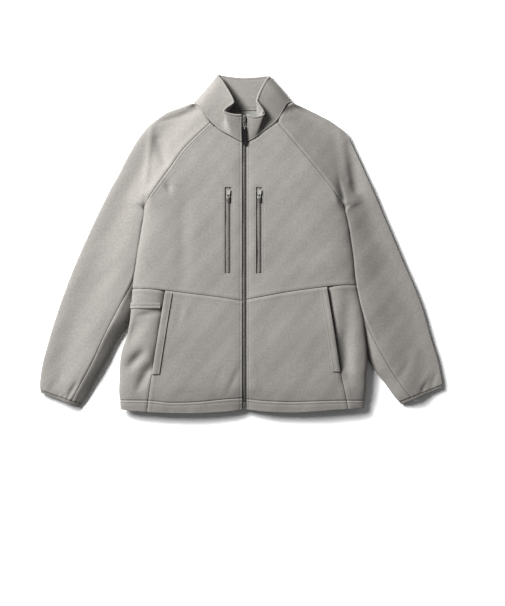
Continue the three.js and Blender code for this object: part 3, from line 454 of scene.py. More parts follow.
# Sleeves below the armpit, from cuff (row 0) to armpit (row 9)
ARM_COLUMNS = "row outerX outerY innerX innerY seam crest"
ARM_ROWS = {
    "left": table(ARM_COLUMNS, [
        [0, -470, 39, -382, 6, 21, 20],
        [1, -472, 62, -366, 27, 26, 22],
        [2, -466, 105, -342, 67, 28, 24],
        [3, -454, 150, -319, 107, 30, 25],
        [4, -438, 205, -291, 160, 34, 25],
        [5, -416, 269, -256, 216, 40, 26],
        [6, -387, 343, -243, 292, 15, 26],
        [7, -358, 409, -232, 362, 9, 26],
        [8, -334, 459, -222, 425, 6, 26],
        [9, -322, 484, -215.8, 450, 4, 26],
    ]),
    "right": table(ARM_COLUMNS, [
        [0, 455, 51, 362, 12, 29, 20],
        [1, 454, 72, 346, 30, 29, 22],
        [2, 444, 120, 323, 62, 28, 24],
        [3, 431, 160, 299, 93, 32, 25],
        [4, 412, 228, 272, 144, 31, 25],
        [5, 392, 282, 262, 205, 15, 26],
        [6, 366, 341, 247, 272, 10, 26],
        [7, 337, 410, 238, 345, 8, 26],
        [8, 318, 454, 226, 420, 6, 26],
        [9, 308, 478, 217.6, 450, 4, 26],
    ]),
}

# Sleeves above the armpit, by the raglan seam's place: the outer fold and the back raglan seam
RAGLAN_COLUMNS = "y outerX outerY backX backY"
RAGLAN_ROWS = {
    "left": table(RAGLAN_COLUMNS, [
        [450, -322, 484, -213, 454],
        [482, -306, 515, -206, 487],
        [519, -290, 543, -191, 522],
        [564, -268, 586, -167, 566],
        [605, -245, 624, -143, 610],
        [633, -225, 650, -121, 646],
        [661, -203, 669, -102, 678],
    ]),
    "right": table(RAGLAN_COLUMNS, [
        [450, 308, 478, 211, 454],
        [482, 296, 506, 203, 487],
        [519, 282, 537, 187, 522],
        [564, 258, 591, 162, 566],
        [605, 236, 634, 138, 610],
        [633, 218, 650, 118, 646],
        [661, 195, 667, 100, 678],
    ]),
}

# The sleeves' ends at the neck: front, outer fold and back of each row, and its crest
NECK_ROWS = {
    "left": (
        (-88.4, 675.4, -176, 687, -95, 692.5, 31),
        (-100, 692, -148, 697, -99, 699, 27),
        (-108.4, 702.2, -125, 706, -108, 703, 21),
    ),
    "right": (
        (83.2, 677, 170, 680, 92, 692.5, 31),
        (91.8, 693.8, 141, 694.5, 96, 699, 27),
        (98.6, 703.6, 117, 706, 102, 703, 21),
    ),
}
BACK_RAGLAN = table("y left right", [
    [450, 214, 212],
    [454, 213, 211],
    [487, 206, 203],
    [522, 191, 187],
    [566, 167, 162],
    [610, 143, 138],
    [646, 121, 118],
    [678, 102, 100],
    [692, 93, 90],
])
BACK_NECK = {"y": 690.0, "rise": 3.0, "half_width": 92.0}
BACK_HEM = 3.0
NECK_TAPE = {"half_width": 42.0, "bottom": 678.0, "top": 689.4}

# The collar from one zip edge round the back to the other: its seam, its rim,
# and how far the middle of each line leans aside and swells up
COLLAR_ROWS = table("place baseX baseY baseZ rimX rimY rimZ lean swell", [
    [0, -5, 616, 35, -5, 679, 50, 0, 0],
    [1, -16, 621, 36, -26, 680, 52, 0, 2],
    [2, -28, 628, 36, -48, 687, 52, 0, 3],
    [3, -44, 637, 35, -44, 696, 43, 3, -6],
    [4, -57, 645, 34, -33, 704, 36, 4, -8],
    [5, -70, 656, 33, -25, 713, 31, 0, -5],
    [6, -84, 670, 31, -29, 724, 28, -4, -2],
    [7, -95, 686, 29, -38, 741, 23, -4, 1],
    [8, -107, 701, 23, -52, 763, 16, -2, 2],
    [9, -117, 708, 8, -62, 773, 8, 3, 0],
    [10, -106, 707, 0, -53, 772, 0, 0, 0],
    [11, -72, 697, 0, -36, 769, 0, 0, 0],
    [12, -36, 692, 0, -18, 767, 0, 0, 0],
    [13, 0, 691, 0, 0, 766, 0, 0, 0],
    [14, 36, 692, 0, 18, 767, 0, 0, 0],
    [15, 70, 697, 0, 34, 768, 0, 0, 0],
    [16, 100, 707, 0, 48, 770, 0, 0, 0],
    [17, 111, 708, 8, 57, 770, 8, 2, 0],
    [18, 99, 704, 23, 49, 761, 24, 2, 5],
    [19, 90, 689, 29, 38, 741, 36, 0, 5],
    [20, 81, 673, 31, 31, 724, 42, -8, 2],
    [21, 69, 659, 33, 31, 712, 44, -20, -3],
    [22, 57, 650, 34, 38, 701, 46, -28, -6],
    [23, 44, 640, 35, 45, 690, 47, -20, -5],
    [24, 28, 628, 36, 45, 680, 52, 0, 3],
    [25, 16, 621, 36, 24, 675, 52, 0, 2],
    [26, 5, 616, 35, 5, 680, 50, 0, 0],
])


# Heights of the body

def fold_height(x, y):
    height = np.zeros(np.broadcast(x, y).shape)
    for i in range(len(FRONT_FOLDS["x"])):
        fold = {name: values[i] for name, values in FRONT_FOLDS.items()}
        turn = math.radians(fold["heading"])
        dx = x - fold["x"]
        dy = y - fold["y"]
        along = dx * math.cos(turn) + dy * math.sin(turn)
        beside = dy * math.cos(turn) - dx * math.sin(turn)
        height = height + fold["height"] * bell(along, fold["length"]) * bell(beside, fold["width"])
    return height


def half_width(side, y):
    return read(BODY, "y", side, y)


def body_top(x, y):
    level = read(BODY, "y", "top", y)
    hem_lift = read(HEM, "x", "lift", np.abs(x)) * (1 - ease(y / HEM_LIFT_LENGTH))
    return level + hem_lift - ZIP_DIP * bell(x, ZIP_DIP_WIDTH) + fold_height(x, y)


def front_height(side, x, y):
    edge = half_width(side, y)
    distance = np.abs(x)
    fold = read(BODY, "y", "fold", y)
    top = body_top(x, y)
    rounded = fold + (top - fold) * swell((edge - distance) / SIDE_ROUND, SIDE_POWER)
    past = (distance - (edge - RIDGE_INSIDE)) / RIDGE_WIDTH
    stepped = VALLEY_FLOOR + (top - VALLEY_FLOOR) * (1 - ease(past))
    return mix(rounded, stepped, ease((y - ARMPIT_LOW) / (ARMPIT_HIGH - ARMPIT_LOW)))


def under_height(side, x, y):
    fold = read(BODY, "y", "fold", y)
    inset = (half_width(side, y) - np.abs(x)) / UNDER_ROUND
    closed = 1 - ease((y - UNDER_FLAT_START) / UNDER_FLAT_LENGTH)
    return closed * fold * (1 - swell(inset, UNDER_POWER))


# The girth is the distance from the zip line along the cloth: across the front, round the side fold
# and on to the underside

def fold_girth(side, y):
    return half_width(side, y) - SIDE_ROUND + SIDE_ROUND_LENGTH


def side_seam_girth(side, y):
    return fold_girth(side, y) + UNDER_ROUND_LENGTH * SIDE_SEAM_SHARE


def girth_of(side, distance, y):
    flat = half_width(side, y) - SIDE_ROUND
    turn = np.arcsin(np.clip((distance - flat) / SIDE_ROUND, 0, 1))
    return np.where(distance <= flat, distance, flat + SIDE_ROUND_LENGTH * turn / (math.pi / 2))


def body_point(side, girth, y):
    sign = SIGN[side]
    edge = half_width(side, y)
    flat = edge - SIDE_ROUND
    fold = fold_girth(side, y)
    turn = np.clip((girth - flat) / SIDE_ROUND_LENGTH, 0, 1) * math.pi / 2
    front_x = np.where(girth <= flat, girth, flat + SIDE_ROUND * np.sin(turn))
    front_z = front_height(side, sign * front_x, y)
    under_turn = np.clip((girth - fold) / UNDER_ROUND_LENGTH, 0, 1) * math.pi / 2
    under_x = edge - UNDER_ROUND * (1 - np.cos(under_turn))
    under_z = read(BODY, "y", "fold", y) * (1 - swell(1 - np.cos(under_turn), UNDER_POWER))
    x = np.where(girth <= fold, front_x, under_x)
    z = np.where(girth <= fold, front_z, under_z)
    return np.stack([sign * x, y + 0 * x, z], axis=-1)


def upper_edge_girth(side, y):
    """The chest panel's outer edge: the raglan seam, then down the side to the armpit."""
    on_raglan = girth_of(side, read(RAGLAN_SEAM, "y", side, y), y)
    inset = half_width(side, ARMPIT_HIGH) - read(RAGLAN_SEAM, "y", side, ARMPIT_HIGH)
    on_top = girth_of(side, half_width(side, y) - inset, y)
    opened = ease((y - ARMPIT_LOW) / (ARMPIT_HIGH - ARMPIT_LOW))
    return np.where(y >= ARMPIT_HIGH, on_raglan, mix(side_seam_girth(side, y), on_top, opened))


# Grids of points between seam lines, closer together beside the seams

def stops(bands):
    """Each stop is its band, its share of the way across it, and a distance on top.
    A band has a number of cells, and how many close stops lie along its low and its high line."""
    found = []
    for band, (cells, low_count, high_count) in enumerate(bands):
        low = EDGE_STOPS[:low_count]
        high = EDGE_STOPS[:high_count]
        found += [(band, 0.0, stop) for stop in low]
        for i in range(1, cells):
            t = i / cells
            found.append((band, t, low[-1] * (1 - t) - high[-1] * t))
        found += [(band, 1.0, -stop) for stop in high[:0:-1]]
    found.append((len(bands) - 1, 1.0, 0.0))
    return found


def index_of(found, band, t, offset):
    return next(i for i, stop in enumerate(found) if stop == (band, t, offset))


def patch(across, across_bands, up, up_bands, surface, passes=12):
    """A grid whose lines across are girths by height, and whose lines up are heights by girth."""
    columns = stops(across_bands)
    rows = stops(up_bands)
    girth = np.zeros((len(rows), len(columns)))
    y = np.zeros_like(girth)
    for r, (band, t, offset) in enumerate(rows):
        y[r] = mix(up[band](0.0), up[band + 1](0.0), t) + offset
    for _ in range(passes):
        lines = [line(y) + 0 * y for line in across]
        for c, (band, t, offset) in enumerate(columns):
            girth[:, c] = mix(lines[band][:, c], lines[band + 1][:, c], t) + offset
        lines = [line(girth) + 0 * girth for line in up]
        for r, (band, t, offset) in enumerate(rows):
            y[r] = mix(lines[band][r], lines[band + 1][r], t) + offset
    near = distance_to(across[0], y, girth)
    far = -distance_to(across[-1], y, girth)
    low = distance_to(up[0], girth, y)
    high = -distance_to(up[-1], girth, y)
    return {
        "points": surface(girth, y), "girth": girth, "y": y, "columns": columns, "rows": rows,
        "near": near, "far": far, "low": low, "high": high,
    }


def distance_to(line, along, place):
    """Distance square to a line that slopes, from the distance read across it."""
    slope = (line(along + 1) - line(along - 1)) / 2
    return (place - line(along)) / np.sqrt(1 + slope ** 2)


# Relief, as heights above the cloth's plain form

def seam_roll(distance):
    roll = -ROLL_DEPTH * np.clip(1 - distance / ROLL_WIDTH, 0, 1) ** 2
    return roll + PUFF * bell(distance - PUFF_PLACE, PUFF_WIDTH)


def armpit_calm(y):
    """How much of the seam's roll is left near the armpit, where the seam lies slack."""
    return 1 - ARMPIT_SLACK_SHARE * bell(y - ARMPIT_MIDDLE, ARMPIT_SLACK)


def stitch_groove(distance):
    return -STITCH_SINK * bell(distance, STITCH_SINK_WIDTH)


def edge_round(distance, half):
    """How far a turned edge of a given half thickness has rounded away."""
    share = np.clip(1 - distance / half, 0, 1)
    return half * (1 - np.sqrt(1 - share ** 2))


def creases(x, y):
    height = np.zeros(np.shape(x))
    for x1, y1, x2, y2, width, rise in zip(*CREASES.values()):
        dx = x2 - x1
        dy = y2 - y1
        t = np.clip(((x - x1) * dx + (y - y1) * dy) / (dx * dx + dy * dy), 0, 1)
        distance = np.hypot(x - x1 - t * dx, y - y1 - t * dy)
        fading = mix(CREASE_END, 1, np.sin(math.pi * t))
        height = height + rise * fading * bell(distance, width)
    return height


def unevenness(x, y):
    return sum(rise * np.sin(kx * x + ky * y + phase) for rise, kx, ky, phase in WAVES)


def cloth_relief(points):
    """Creases and soft unevenness, fading out towards the surface that the garment lies on."""
    x, y, z = np.moveaxis(points, -1, 0)
    return (creases(x, y) + unevenness(x, y)) * ease((z - RELIEF_START) / RELIEF_LENGTH)


# Shells

def unit(vectors):
    return vectors / np.maximum(np.linalg.norm(vectors, axis=-1, keepdims=True), 1e-9)


def closed_round(grid):
    return np.concatenate([grid, grid[:, :1]], axis=1)


def surface_normals(grid, flip, wrap=False):
    ring = closed_round(grid) if wrap else grid
    cell = unit(np.cross(ring[1:, 1:] - ring[:-1, :-1], ring[1:, :-1] - ring[:-1, 1:]))
    total = np.zeros_like(ring)
    total[:-1, :-1] += cell
    total[:-1, 1:] += cell
    total[1:, 1:] += cell
    total[1:, :-1] += cell
    if wrap:
        total[:, 0] += total[:, -1]
        total = total[:, :-1]
    return unit(total) * (-1 if flip else 1)


def run_lengths(grid, axis, wrap=False):
    ring = closed_round(grid) if wrap else grid
    span = np.linalg.norm(np.diff(ring, axis=axis), axis=-1)
    pad = [(1, 0) if i == axis else (0, 0) for i in range(2)]
    return np.pad(np.cumsum(span, axis=axis), pad)


def wall_faces(grid, wrap, solid):
    """A wall's faces, outside, inside and round its edges, and the places of their corners on the cloth."""
    rows, columns = grid.shape[:2]
    count = rows * columns
    cells = columns if wrap else columns - 1
    r, c = np.mgrid[0:rows - 1, 0:cells]
    after = (c + 1) % columns
    corners = ((0, 0, c), (0, 1, after), (1, 1, after), (1, 0, c))
    corner = np.stack([(r + i) * columns + at for i, _, at in corners], -1)
    u = run_lengths(grid, 1, wrap)
    v = run_lengths(grid, 0)
    place = np.stack([np.stack([u[r + i, c + j], v[r + i, at]], -1) for i, j, at in corners], -2)
    keep = np.ones((rows - 1, cells), bool) if solid is None else solid
    around = np.pad(keep, 1)
    if wrap:
        around[1:-1, 0] = keep[:, -1]
        around[1:-1, -1] = keep[:, 0]
    turned_over = [0, 3, 2, 1]
    faces = [corner[keep], corner[keep][:, turned_over] + count]
    places = [place[keep], place[keep][:, turned_over]]
    for k, (dr, dc) in enumerate(((-1, 0), (0, 1), (1, 0), (0, -1))):
        following = (k + 1) % 4
        edge = keep & ~around[1 + dr:rows + dr, 1 + dc:1 + cells + dc]
        a = corner[edge][:, k]
        b = corner[edge][:, following]
        faces.append(np.stack([b, a, a + count, b + count], -1))
        places.append(place[edge][:, [following, k, k, following]])
    return np.concatenate(faces), np.concatenate(places)


def shell(
    name, grid, thickness, flip=False, wrap=False, solid=None, relief=0.0, round_in=0.0, normals=None,
):
    """A closed wall of cloth on a grid of points. round_in is how far its inner face has rounded away."""
    outward = surface_normals(grid, flip, wrap) if normals is None else normals
    rise = np.broadcast_to(relief, grid.shape[:2])
    rounded = np.broadcast_to(round_in, grid.shape[:2])
    least = np.minimum(LEAST_WALL, thickness - 2 * rounded) - rise
    outer = grid + outward * rise[..., None]
    inner = grid - outward * np.maximum(thickness - rounded, least)[..., None]
    faces, places = wall_faces(grid, wrap, solid)
    if flip:
        faces = faces[:, ::-1]
        places = places[:, ::-1]
    points = np.concatenate([outer.reshape(-1, 3), inner.reshape(-1, 3)])
    piece = mesh_piece(f"{name}_cloth", points, faces.tolist())
    layer = piece.data.uv_layers.new(name="Cloth")
    layer.data.foreach_set("uv", (places * MM).ravel())
    return {"piece": piece, "outer": outer, "inner": inner, "normals": outward}


def mesh_piece(name, points, faces):
    mesh = bpy.data.meshes.new(name)
    mesh.from_pydata((points * MM + ORIGIN).tolist(), [], faces)
    mesh.polygons.foreach_set("use_smooth", [True] * len(mesh.polygons))
    mesh.update()
    piece = bpy.data.objects.new(name, mesh)
    bpy.context.scene.collection.objects.link(piece)
    return piece


# Stitches and coil turns: one is modelled and stamped along each line

def fresh_piece(add, **values):
    """Adds a primitive as the only selected piece."""
    bpy.ops.object.select_all(action="DESELECT")
    add(**values)
    return bpy.context.object


def stretch_all(size):
    """Goes into edit mode and gives the whole piece a size."""
    bpy.ops.object.mode_set(mode="EDIT")
    bpy.ops.mesh.select_all(action="SELECT")
    bpy.ops.transform.resize(value=size)


def modelled(piece):
    """A template's points in millimetres and its faces, taken from a modelled piece that is then removed."""
    bpy.ops.object.mode_set(mode="OBJECT")
    points = np.array([vertex.co for vertex in piece.data.vertices])
    faces = [list(face.vertices) for face in piece.data.polygons]
    bpy.data.objects.remove(piece)
    return points, faces


def stitch_template():
    piece = fresh_piece(bpy.ops.mesh.primitive_uv_sphere_add, segments=6, ring_count=4, radius=1)
    stretch_all(STITCH_SIZE)
    points, faces = modelled(piece)
    return points[:, [2, 0, 1]], faces


def tooth_template(length, width, height):
    piece = fresh_piece(bpy.ops.mesh.primitive_cylinder_add, vertices=6, radius=0.5, depth=1)
    stretch_all((height, width, length))
    mesh = bmesh.from_edit_mesh(piece.data)
    for face in mesh.faces:
        face.select = abs(face.normal.z) > 0.9
    bmesh.update_edit_mesh(piece.data)
    bpy.ops.mesh.inset(thickness=0.28 * height)
    points, faces = modelled(piece)
    return points[:, [2, 1, 0]], [face[::-1] for face in faces]


def stamped(name, template, places):
    """One mesh of many copies of a template, each at a place with its X along and its Z up."""
    points, faces = template
    at, along, up = (np.concatenate(part) for part in zip(*places))
    side = unit(np.cross(up, along))
    axes = np.stack([along, side, np.cross(along, side)], 1)
    turned = points @ axes + at[:, None]
    count = len(points)
    all_faces = [[k + i * count for k in face] for i in range(len(at)) for face in faces]
    return mesh_piece(name, turned.reshape(-1, 3), all_faces)


stitch_runs = []


def sew(points, normals, margin=1.6):
    """Adds a line of stitches along points on the cloth."""
    span = np.linalg.norm(np.diff(points, axis=0), axis=1)
    run = np.concatenate([[0], np.cumsum(span)])
    length = run[-1] - 2 * margin
    count = max(int(length / STITCH_PITCH), 1)
    at = margin + length * (np.arange(count) + 0.5) / count

    def along_run(values, places):
        return np.stack([np.interp(places, run, values[:, k]) for k in range(3)], -1)

    along = unit(along_run(points, at + 0.5) - along_run(points, at - 0.5))
    up = unit(along_run(normals, at))
    stitch_runs.append((along_run(points, at) + up * STITCH_LIFT, along, up))


def sew_column(made, column, first=0, last=None):
    sew(made["outer"][first:last, column], made["normals"][first:last, column])


def sew_row(made, row, first=0, last=None):
    sew(made["outer"][row, first:last], made["normals"][row, first:last])


# Materials

def link_or_set(tree, socket, value):
    if hasattr(value, "links"):
        tree.links.new(value, socket)
    else:
        socket.default_value = value


def add_node(tree, kind, **values):
    node = tree.nodes.new(kind)
    for name, value in values.items():
        link_or_set(tree, node.inputs[name], value)
    return node


def math_node(tree, operation, a, b):
    node = tree.nodes.new("ShaderNodeMath")
    node.operation = operation
    link_or_set(tree, node.inputs[0], a)
    link_or_set(tree, node.inputs[1], b)
    return node.outputs[0]


def plus(tree, a, b):
    return math_node(tree, "ADD", a, b)


def times(tree, a, b):
    return math_node(tree, "MULTIPLY", a, b)


def swing(tree, value, share):
    """A value from 0 to 1, counted from its middle and made smaller by a share."""
    return times(tree, math_node(tree, "SUBTRACT", value, 0.5), share)


def noise(tree, vector, scale, detail=2.0, roughness=0.5):
    node = add_node(
        tree, "ShaderNodeTexNoise", Vector=vector, Scale=scale, Detail=detail, Roughness=roughness,
    )
    return node.outputs["Fac"]


def new_group(name, numbers, outputs):
    """A node group that takes a colour and some numbers, and gives a colour and other outputs."""
    group = bpy.data.node_groups.new(name, "ShaderNodeTree")
    colour = group.interface.new_socket(name="Colour", in_out="INPUT", socket_type="NodeSocketColor")
    colour.default_value = (0.5, 0.5, 0.5, 1)
    for label, value in numbers.items():
        socket = group.interface.new_socket(name=label, in_out="INPUT", socket_type="NodeSocketFloat")
        socket.default_value = value
    group.interface.new_socket(name="Colour", in_out="OUTPUT", socket_type="NodeSocketColor")
    for label in outputs:
        group.interface.new_socket(name=label, in_out="OUTPUT", socket_type="NodeSocketFloat")
    return group, group.nodes.new("NodeGroupInput").outputs, group.nodes.new("NodeGroupOutput").inputs


def brighten(group, entry, leave, factor):
    """Links the group's colour, times a factor, to its colour output."""
    bright = group.nodes.new("ShaderNodeVectorMath")
    bright.operation = "SCALE"
    group.links.new(entry["Colour"], bright.inputs[0])
    group.links.new(factor, bright.inputs["Scale"])
    group.links.new(bright.outputs[0], leave["Colour"])


def nap_group():
    """Short brushed fibres: a mottled tone, fine flecks and their height."""
    group, entry, leave = new_group("nap", {"Fleck": 0.1, "Mottle": 0.08}, ["Height"])
    place = group.nodes.new("ShaderNodeTexCoord").outputs["Object"]
    brushed = add_node(group, "ShaderNodeMapping", Vector=place, Scale=(1, 0.45, 1)).outputs["Vector"]
    fibres = noise(group, brushed, 900, 3, 0.65)
    tufts = noise(group, place, 210, 3, 0.6)
    clouds = noise(group, place, 14, 3, 0.55)
    flecks = plus(group, swing(group, fibres, entry["Fleck"]), swing(group, tufts, entry["Fleck"]))
    tone = plus(group, flecks, swing(group, clouds, entry["Mottle"]))
    brighten(group, entry, leave, plus(group, tone, 1.0))
    height = plus(group, times(group, fibres, 0.4), times(group, tufts, 0.6))
    group.links.new(height, leave["Height"])
    return group


def weave_group():
    """A plain weave on the piece's own cloth coordinates. Threads is its waves' rate in radians a metre."""
    group, entry, leave = new_group("weave", {"Threads": 1800.0, "Depth": 0.2}, ["Height"])
    place = group.nodes.new("ShaderNodeUVMap")
    place.uv_map = "Cloth"
    split = group.nodes.new("ShaderNodeSeparateXYZ")
    group.links.new(place.outputs[0], split.inputs[0])
    warp, weft = (
        math_node(group, "SINE", times(group, split.outputs[axis], entry["Threads"]), 0.0) for axis in "XY"
    )
    height = times(group, warp, weft)
    brighten(group, entry, leave, plus(group, times(group, height, entry["Depth"]), 1.0))
    group.links.new(height, leave["Height"])
    return group


def grain_group():
    """Fine unevenness of moulded and cast parts, with a little dust or wear in the tone."""
    group, entry, leave = new_group("grain", {"Rough": 0.5, "Fineness": 900.0}, ["Roughness", "Height"])
    place = group.nodes.new("ShaderNodeTexCoord").outputs["Object"]
    fine = noise(group, place, entry["Fineness"])
    broad = noise(group, place, 160)
    brighten(group, entry, leave, plus(group, times(group, broad, 0.3), 0.85))
    group.links.new(plus(group, entry["Rough"], swing(group, broad, 0.3)), leave["Roughness"])
    group.links.new(fine, leave["Height"])
    return group


def new_material(name, values):
    material = bpy.data.materials.new(name)
    material.use_nodes = True
    shader = material.node_tree.nodes["Principled BSDF"]
    for label, value in values.items():
        shader.inputs[label].default_value = value
    return material, material.node_tree, shader


def grouped_material(name, group, numbers, values, bump_distance, bump_strength):
    """A material whose colour, height and, where the group gives it, roughness come from a node group."""
    material, tree, shader = new_material(name, values)
    node = tree.nodes.new("ShaderNodeGroup")
    node.node_tree = group
    for label, value in numbers.items():
        node.inputs[label].default_value = value
    tree.links.new(node.outputs["Colour"], shader.inputs["Base Color"])
    if "Roughness" in node.outputs:
        tree.links.new(node.outputs["Roughness"], shader.inputs["Roughness"])
    height = node.outputs["Height"]
    bump = add_node(tree, "ShaderNodeBump", Height=height, Distance=bump_distance, Strength=bump_strength)
    tree.links.new(bump.outputs["Normal"], shader.inputs["Normal"])
    return material


NAP = nap_group()
WEAVE = weave_group()
GRAIN = grain_group()


def fleece_material(name, colour):
    numbers = {"Colour": colour, "Fleck": 0.42, "Mottle": 0.08}
    return grouped_material(name, NAP, numbers, NAPPED, 0.0008, 0.5)


def woven_material(name, colour, threads, depth):
    numbers = {"Colour": colour, "Threads": threads, "Depth": depth}
    return grouped_material(name, WEAVE, numbers, WOVEN, 0.0003, 0.6)


def moulded_material(name, colour, rough, fineness, metallic=0.0, bump=0.25):
    numbers = {"Colour": colour, "Rough": rough, "Fineness": fineness}
    return grouped_material(name, GRAIN, numbers, {"Metallic": metallic}, 0.0001, bump)


FLEECE = fleece_material("fleece", (0.262, 0.25, 0.236, 1))
BINDING = woven_material("stretch_binding", (0.23, 0.218, 0.204, 1), 3900.0, 0.3)
PALE_TAPE = woven_material("neck_tape_weave", (0.34, 0.34, 0.315, 1), 5200.0, 0.12)
ZIP_TAPE = woven_material("zip_tape_weave", (0.24, 0.229, 0.215, 1), 6200.0, 0.2)
THREAD = moulded_material("thread", (0.29, 0.277, 0.26, 1), 0.8, 2600.0, 0.0, 0.4)
COIL = moulded_material("zip_coil", (0.17, 0.163, 0.153, 1), 0.45, 1200.0)
PALE_COIL = moulded_material("pale_zip_coil", (0.25, 0.24, 0.225, 1), 0.5, 1200.0)
METAL = moulded_material("satin_metal", (0.52, 0.51, 0.49, 1), 0.34, 1500.0, 1.0, 0.15)
BLACK_RUBBER = moulded_material("black_rubber", (0.012, 0.012, 0.013, 1), 0.5, 1400.0, 0.0, 0.3)
PALE_PLASTIC = moulded_material("pale_plastic", (0.3, 0.288, 0.268, 1), 0.5, 900.0)


def dress(piece, material, body="jacket", replaced=()):
    piece.data.materials.clear()
    piece.data.materials.append(material)
    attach(piece, body)
    if replaced:
        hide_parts(*replaced)
    return piece


def cloth(node, piece, material=FLEECE, with_pieces=()):
    dress(piece, material, replaced=[node])


# Body panels

def waist_seam(side, girth):
    return read(WAIST_SEAM, "x", side, girth)


def hem_stitch(side, girth):
    return read(HEM_STITCH, "x", side, girth)


def pocket_girth(side, y):
    return girth_of(side, read(POCKET_LINE, "y", side, y), y)


def cells_for(length, cell=CELL):
    return max(int(round(length / cell)), 2)


def body_patch(side, across, across_bands, up, up_bands):
    return patch(across, across_bands, up, up_bands, lambda girth, y: body_point(side, girth, y))


def chest_grid(side):
    return body_patch(
        side,
        [
            lambda y: ZIP_EDGE,
            lambda y: SLOT_NEAR[side],
            lambda y: SLOT_FAR[side],
            lambda y: upper_edge_girth(side, y) - SEAM,
        ],
        [(2, SOME, SOME), (1, ONE, ONE), (44, ALL, ALL)],
        [
            lambda girth: waist_seam(side, girth) + SEAM,
            lambda girth: CHEST_ZIP_BOTTOM,
            lambda girth: CHEST_ZIP_TOP,
            lambda girth: read(NECK_SEAM, "x", side, girth) + NECK_UNDERLAP,
        ],
        [(6, ALL, ALL), (44, ALL, ALL), (24, ALL, ALL)],
    )


def beyond_slot(side, grid):
    """How far each point lies outside the chest zip's slot."""
    return np.maximum(
        np.maximum(SLOT_NEAR[side] - grid["girth"], grid["girth"] - SLOT_FAR[side]),
        np.maximum(CHEST_ZIP_BOTTOM - grid["y"], grid["y"] - CHEST_ZIP_TOP),
    )


def sew_round_slot(made, columns, rows):
    top = index_of(rows, 2, 0.0, SLOT_STITCH)
    bottom = index_of(rows, 0, 1.0, -SLOT_STITCH)
    near = index_of(columns, 0, 1.0, -SLOT_STITCH)
    far = index_of(columns, 2, 0.0, SLOT_STITCH)
    sew_column(made, near, bottom, top + 1)
    sew_column(made, far, bottom, top + 1)
    sew_row(made, top, near, far + 1)
    sew_row(made, bottom, near, far + 1)


def chest_panel(side):
    grid = chest_grid(side)
    columns, rows = grid["columns"], grid["rows"]
    solid = np.ones((len(rows) - 1, len(columns) - 1), bool)
    slot_rows = slice(index_of(rows, 1, 0.0, 0.0), index_of(rows, 2, 0.0, 0.0))
    solid[slot_rows, index_of(columns, 1, 0.0, 0.0)] = False
    outside = beyond_slot(side, grid)
    rounding = edge_round(np.minimum(np.abs(outside), grid["near"]), CLOTH / 2)
    relief = (
        cloth_relief(grid["points"]) + seam_roll(grid["far"]) * armpit_calm(grid["y"])
        + seam_roll(grid["low"]) + CHEST_NECK_ROLL * seam_roll(grid["high"])
        + stitch_groove(grid["near"] - ZIP_STITCH) + stitch_groove(grid["far"] - SEAM_STITCH)
        + stitch_groove(outside - SLOT_STITCH) - rounding
    )
    name = f"front_upper_{side}"
    made = shell(
        name, grid["points"], CLOTH, side == "left", solid=solid, relief=relief, round_in=rounding,
    )
    sew_column(made, index_of(columns, 0, 0.0, ZIP_STITCH))
    armpit = int(np.argmax(grid["y"][:, -1] > ARMPIT_LOW))
    sew_column(made, index_of(columns, 2, 1.0, -SEAM_STITCH), armpit)
    sew_round_slot(made, columns, rows)
    cloth(name, made["piece"])


def below_waist_grid(side, across, bands):
    """A grid from the hem's edge to its stitch line and on to the waist seam."""
    return body_patch(
        side,
        across,
        bands,
        [
            lambda girth: read(HEM, "x", side, girth),
            lambda girth: hem_stitch(side, girth),
            lambda girth: waist_seam(side, girth) - SEAM,
        ],
        [(2, SOME, SOME), (50, ALL, ALL)],
    )


def below_waist_relief(side, grid):
    below = hem_stitch(side, grid["girth"]) - grid["y"]
    hem = sum(rise * bell(below - place, width) for rise, place, width in HEM_PROFILE)
    waist = WAIST_ROLL * seam_roll(grid["high"])
    return cloth_relief(grid["points"]) + waist + hem - edge_round(grid["low"], CLOTH / 2)


def sew_hem(made, rows, last=None):
    sew_row(made, index_of(rows, 1, 0.0, 0.0), 0, last)
    sew_row(made, index_of(rows, 0, 1.0, -HEM_SECOND_STITCH), 0, last)


def lower_panel(side):
    grid = below_waist_grid(
        side, [lambda y: ZIP_EDGE, lambda y: pocket_girth(side, y) - SEAM], [(46, ALL, ALL)],
    )
    below_welt = 1 - ease((grid["y"] - WELT_BOTTOM[side]) / 8)
    relief = (
        below_waist_relief(side, grid) + stitch_groove(grid["near"] - ZIP_STITCH)
        - edge_round(grid["near"], CLOTH / 2) + seam_roll(grid["far"]) * below_welt
    )
    turned = np.minimum(grid["near"], grid["low"])
    name = f"front_lower_{side}"
    rounding = edge_round(turned, CLOTH / 2)
    made = shell(name, grid["points"], CLOTH, side == "left", relief=relief, round_in=rounding)
    sew_column(made, index_of(grid["columns"], 0, 0.0, ZIP_STITCH))
    sew_hem(made, grid["rows"])
    cloth(name, made["piece"])


def side_panel(side):
    across = [
        lambda y: pocket_girth(side, y) + SEAM,
        lambda y: fold_girth(side, y),
        lambda y: side_seam_girth(side, y) - SEAM,
    ]
    grid = below_waist_grid(side, across, [(18, ALL, ONE), (9, ONE, ALL)])
    mouth = ease((grid["y"] - WELT_BOTTOM[side] + 4) / 16)
    hollow = MOUTH_DIP * np.exp(-grid["near"] / MOUTH_WIDTH)
    broad_hollow = MOUTH_BROAD_DIP * bell(grid["near"], MOUTH_BROAD_WIDTH)
    relief = (
        below_waist_relief(side, grid) + seam_roll(grid["far"]) + seam_roll(grid["near"]) * (1 - mouth)
        - mouth * (hollow + broad_hollow)
    )
    relief = np.maximum(relief, -0.9 * grid["points"][..., 2])
    name = f"side_panel_{side}"
    rounding = edge_round(grid["low"], CLOTH / 2)
    made = shell(name, grid["points"], CLOTH, side == "left", relief=relief, round_in=rounding)
    fold = index_of(grid["columns"], 1, 0.0, 0.0)
    sew_hem(made, grid["rows"], fold + 3)
    cloth(name, made["piece"])


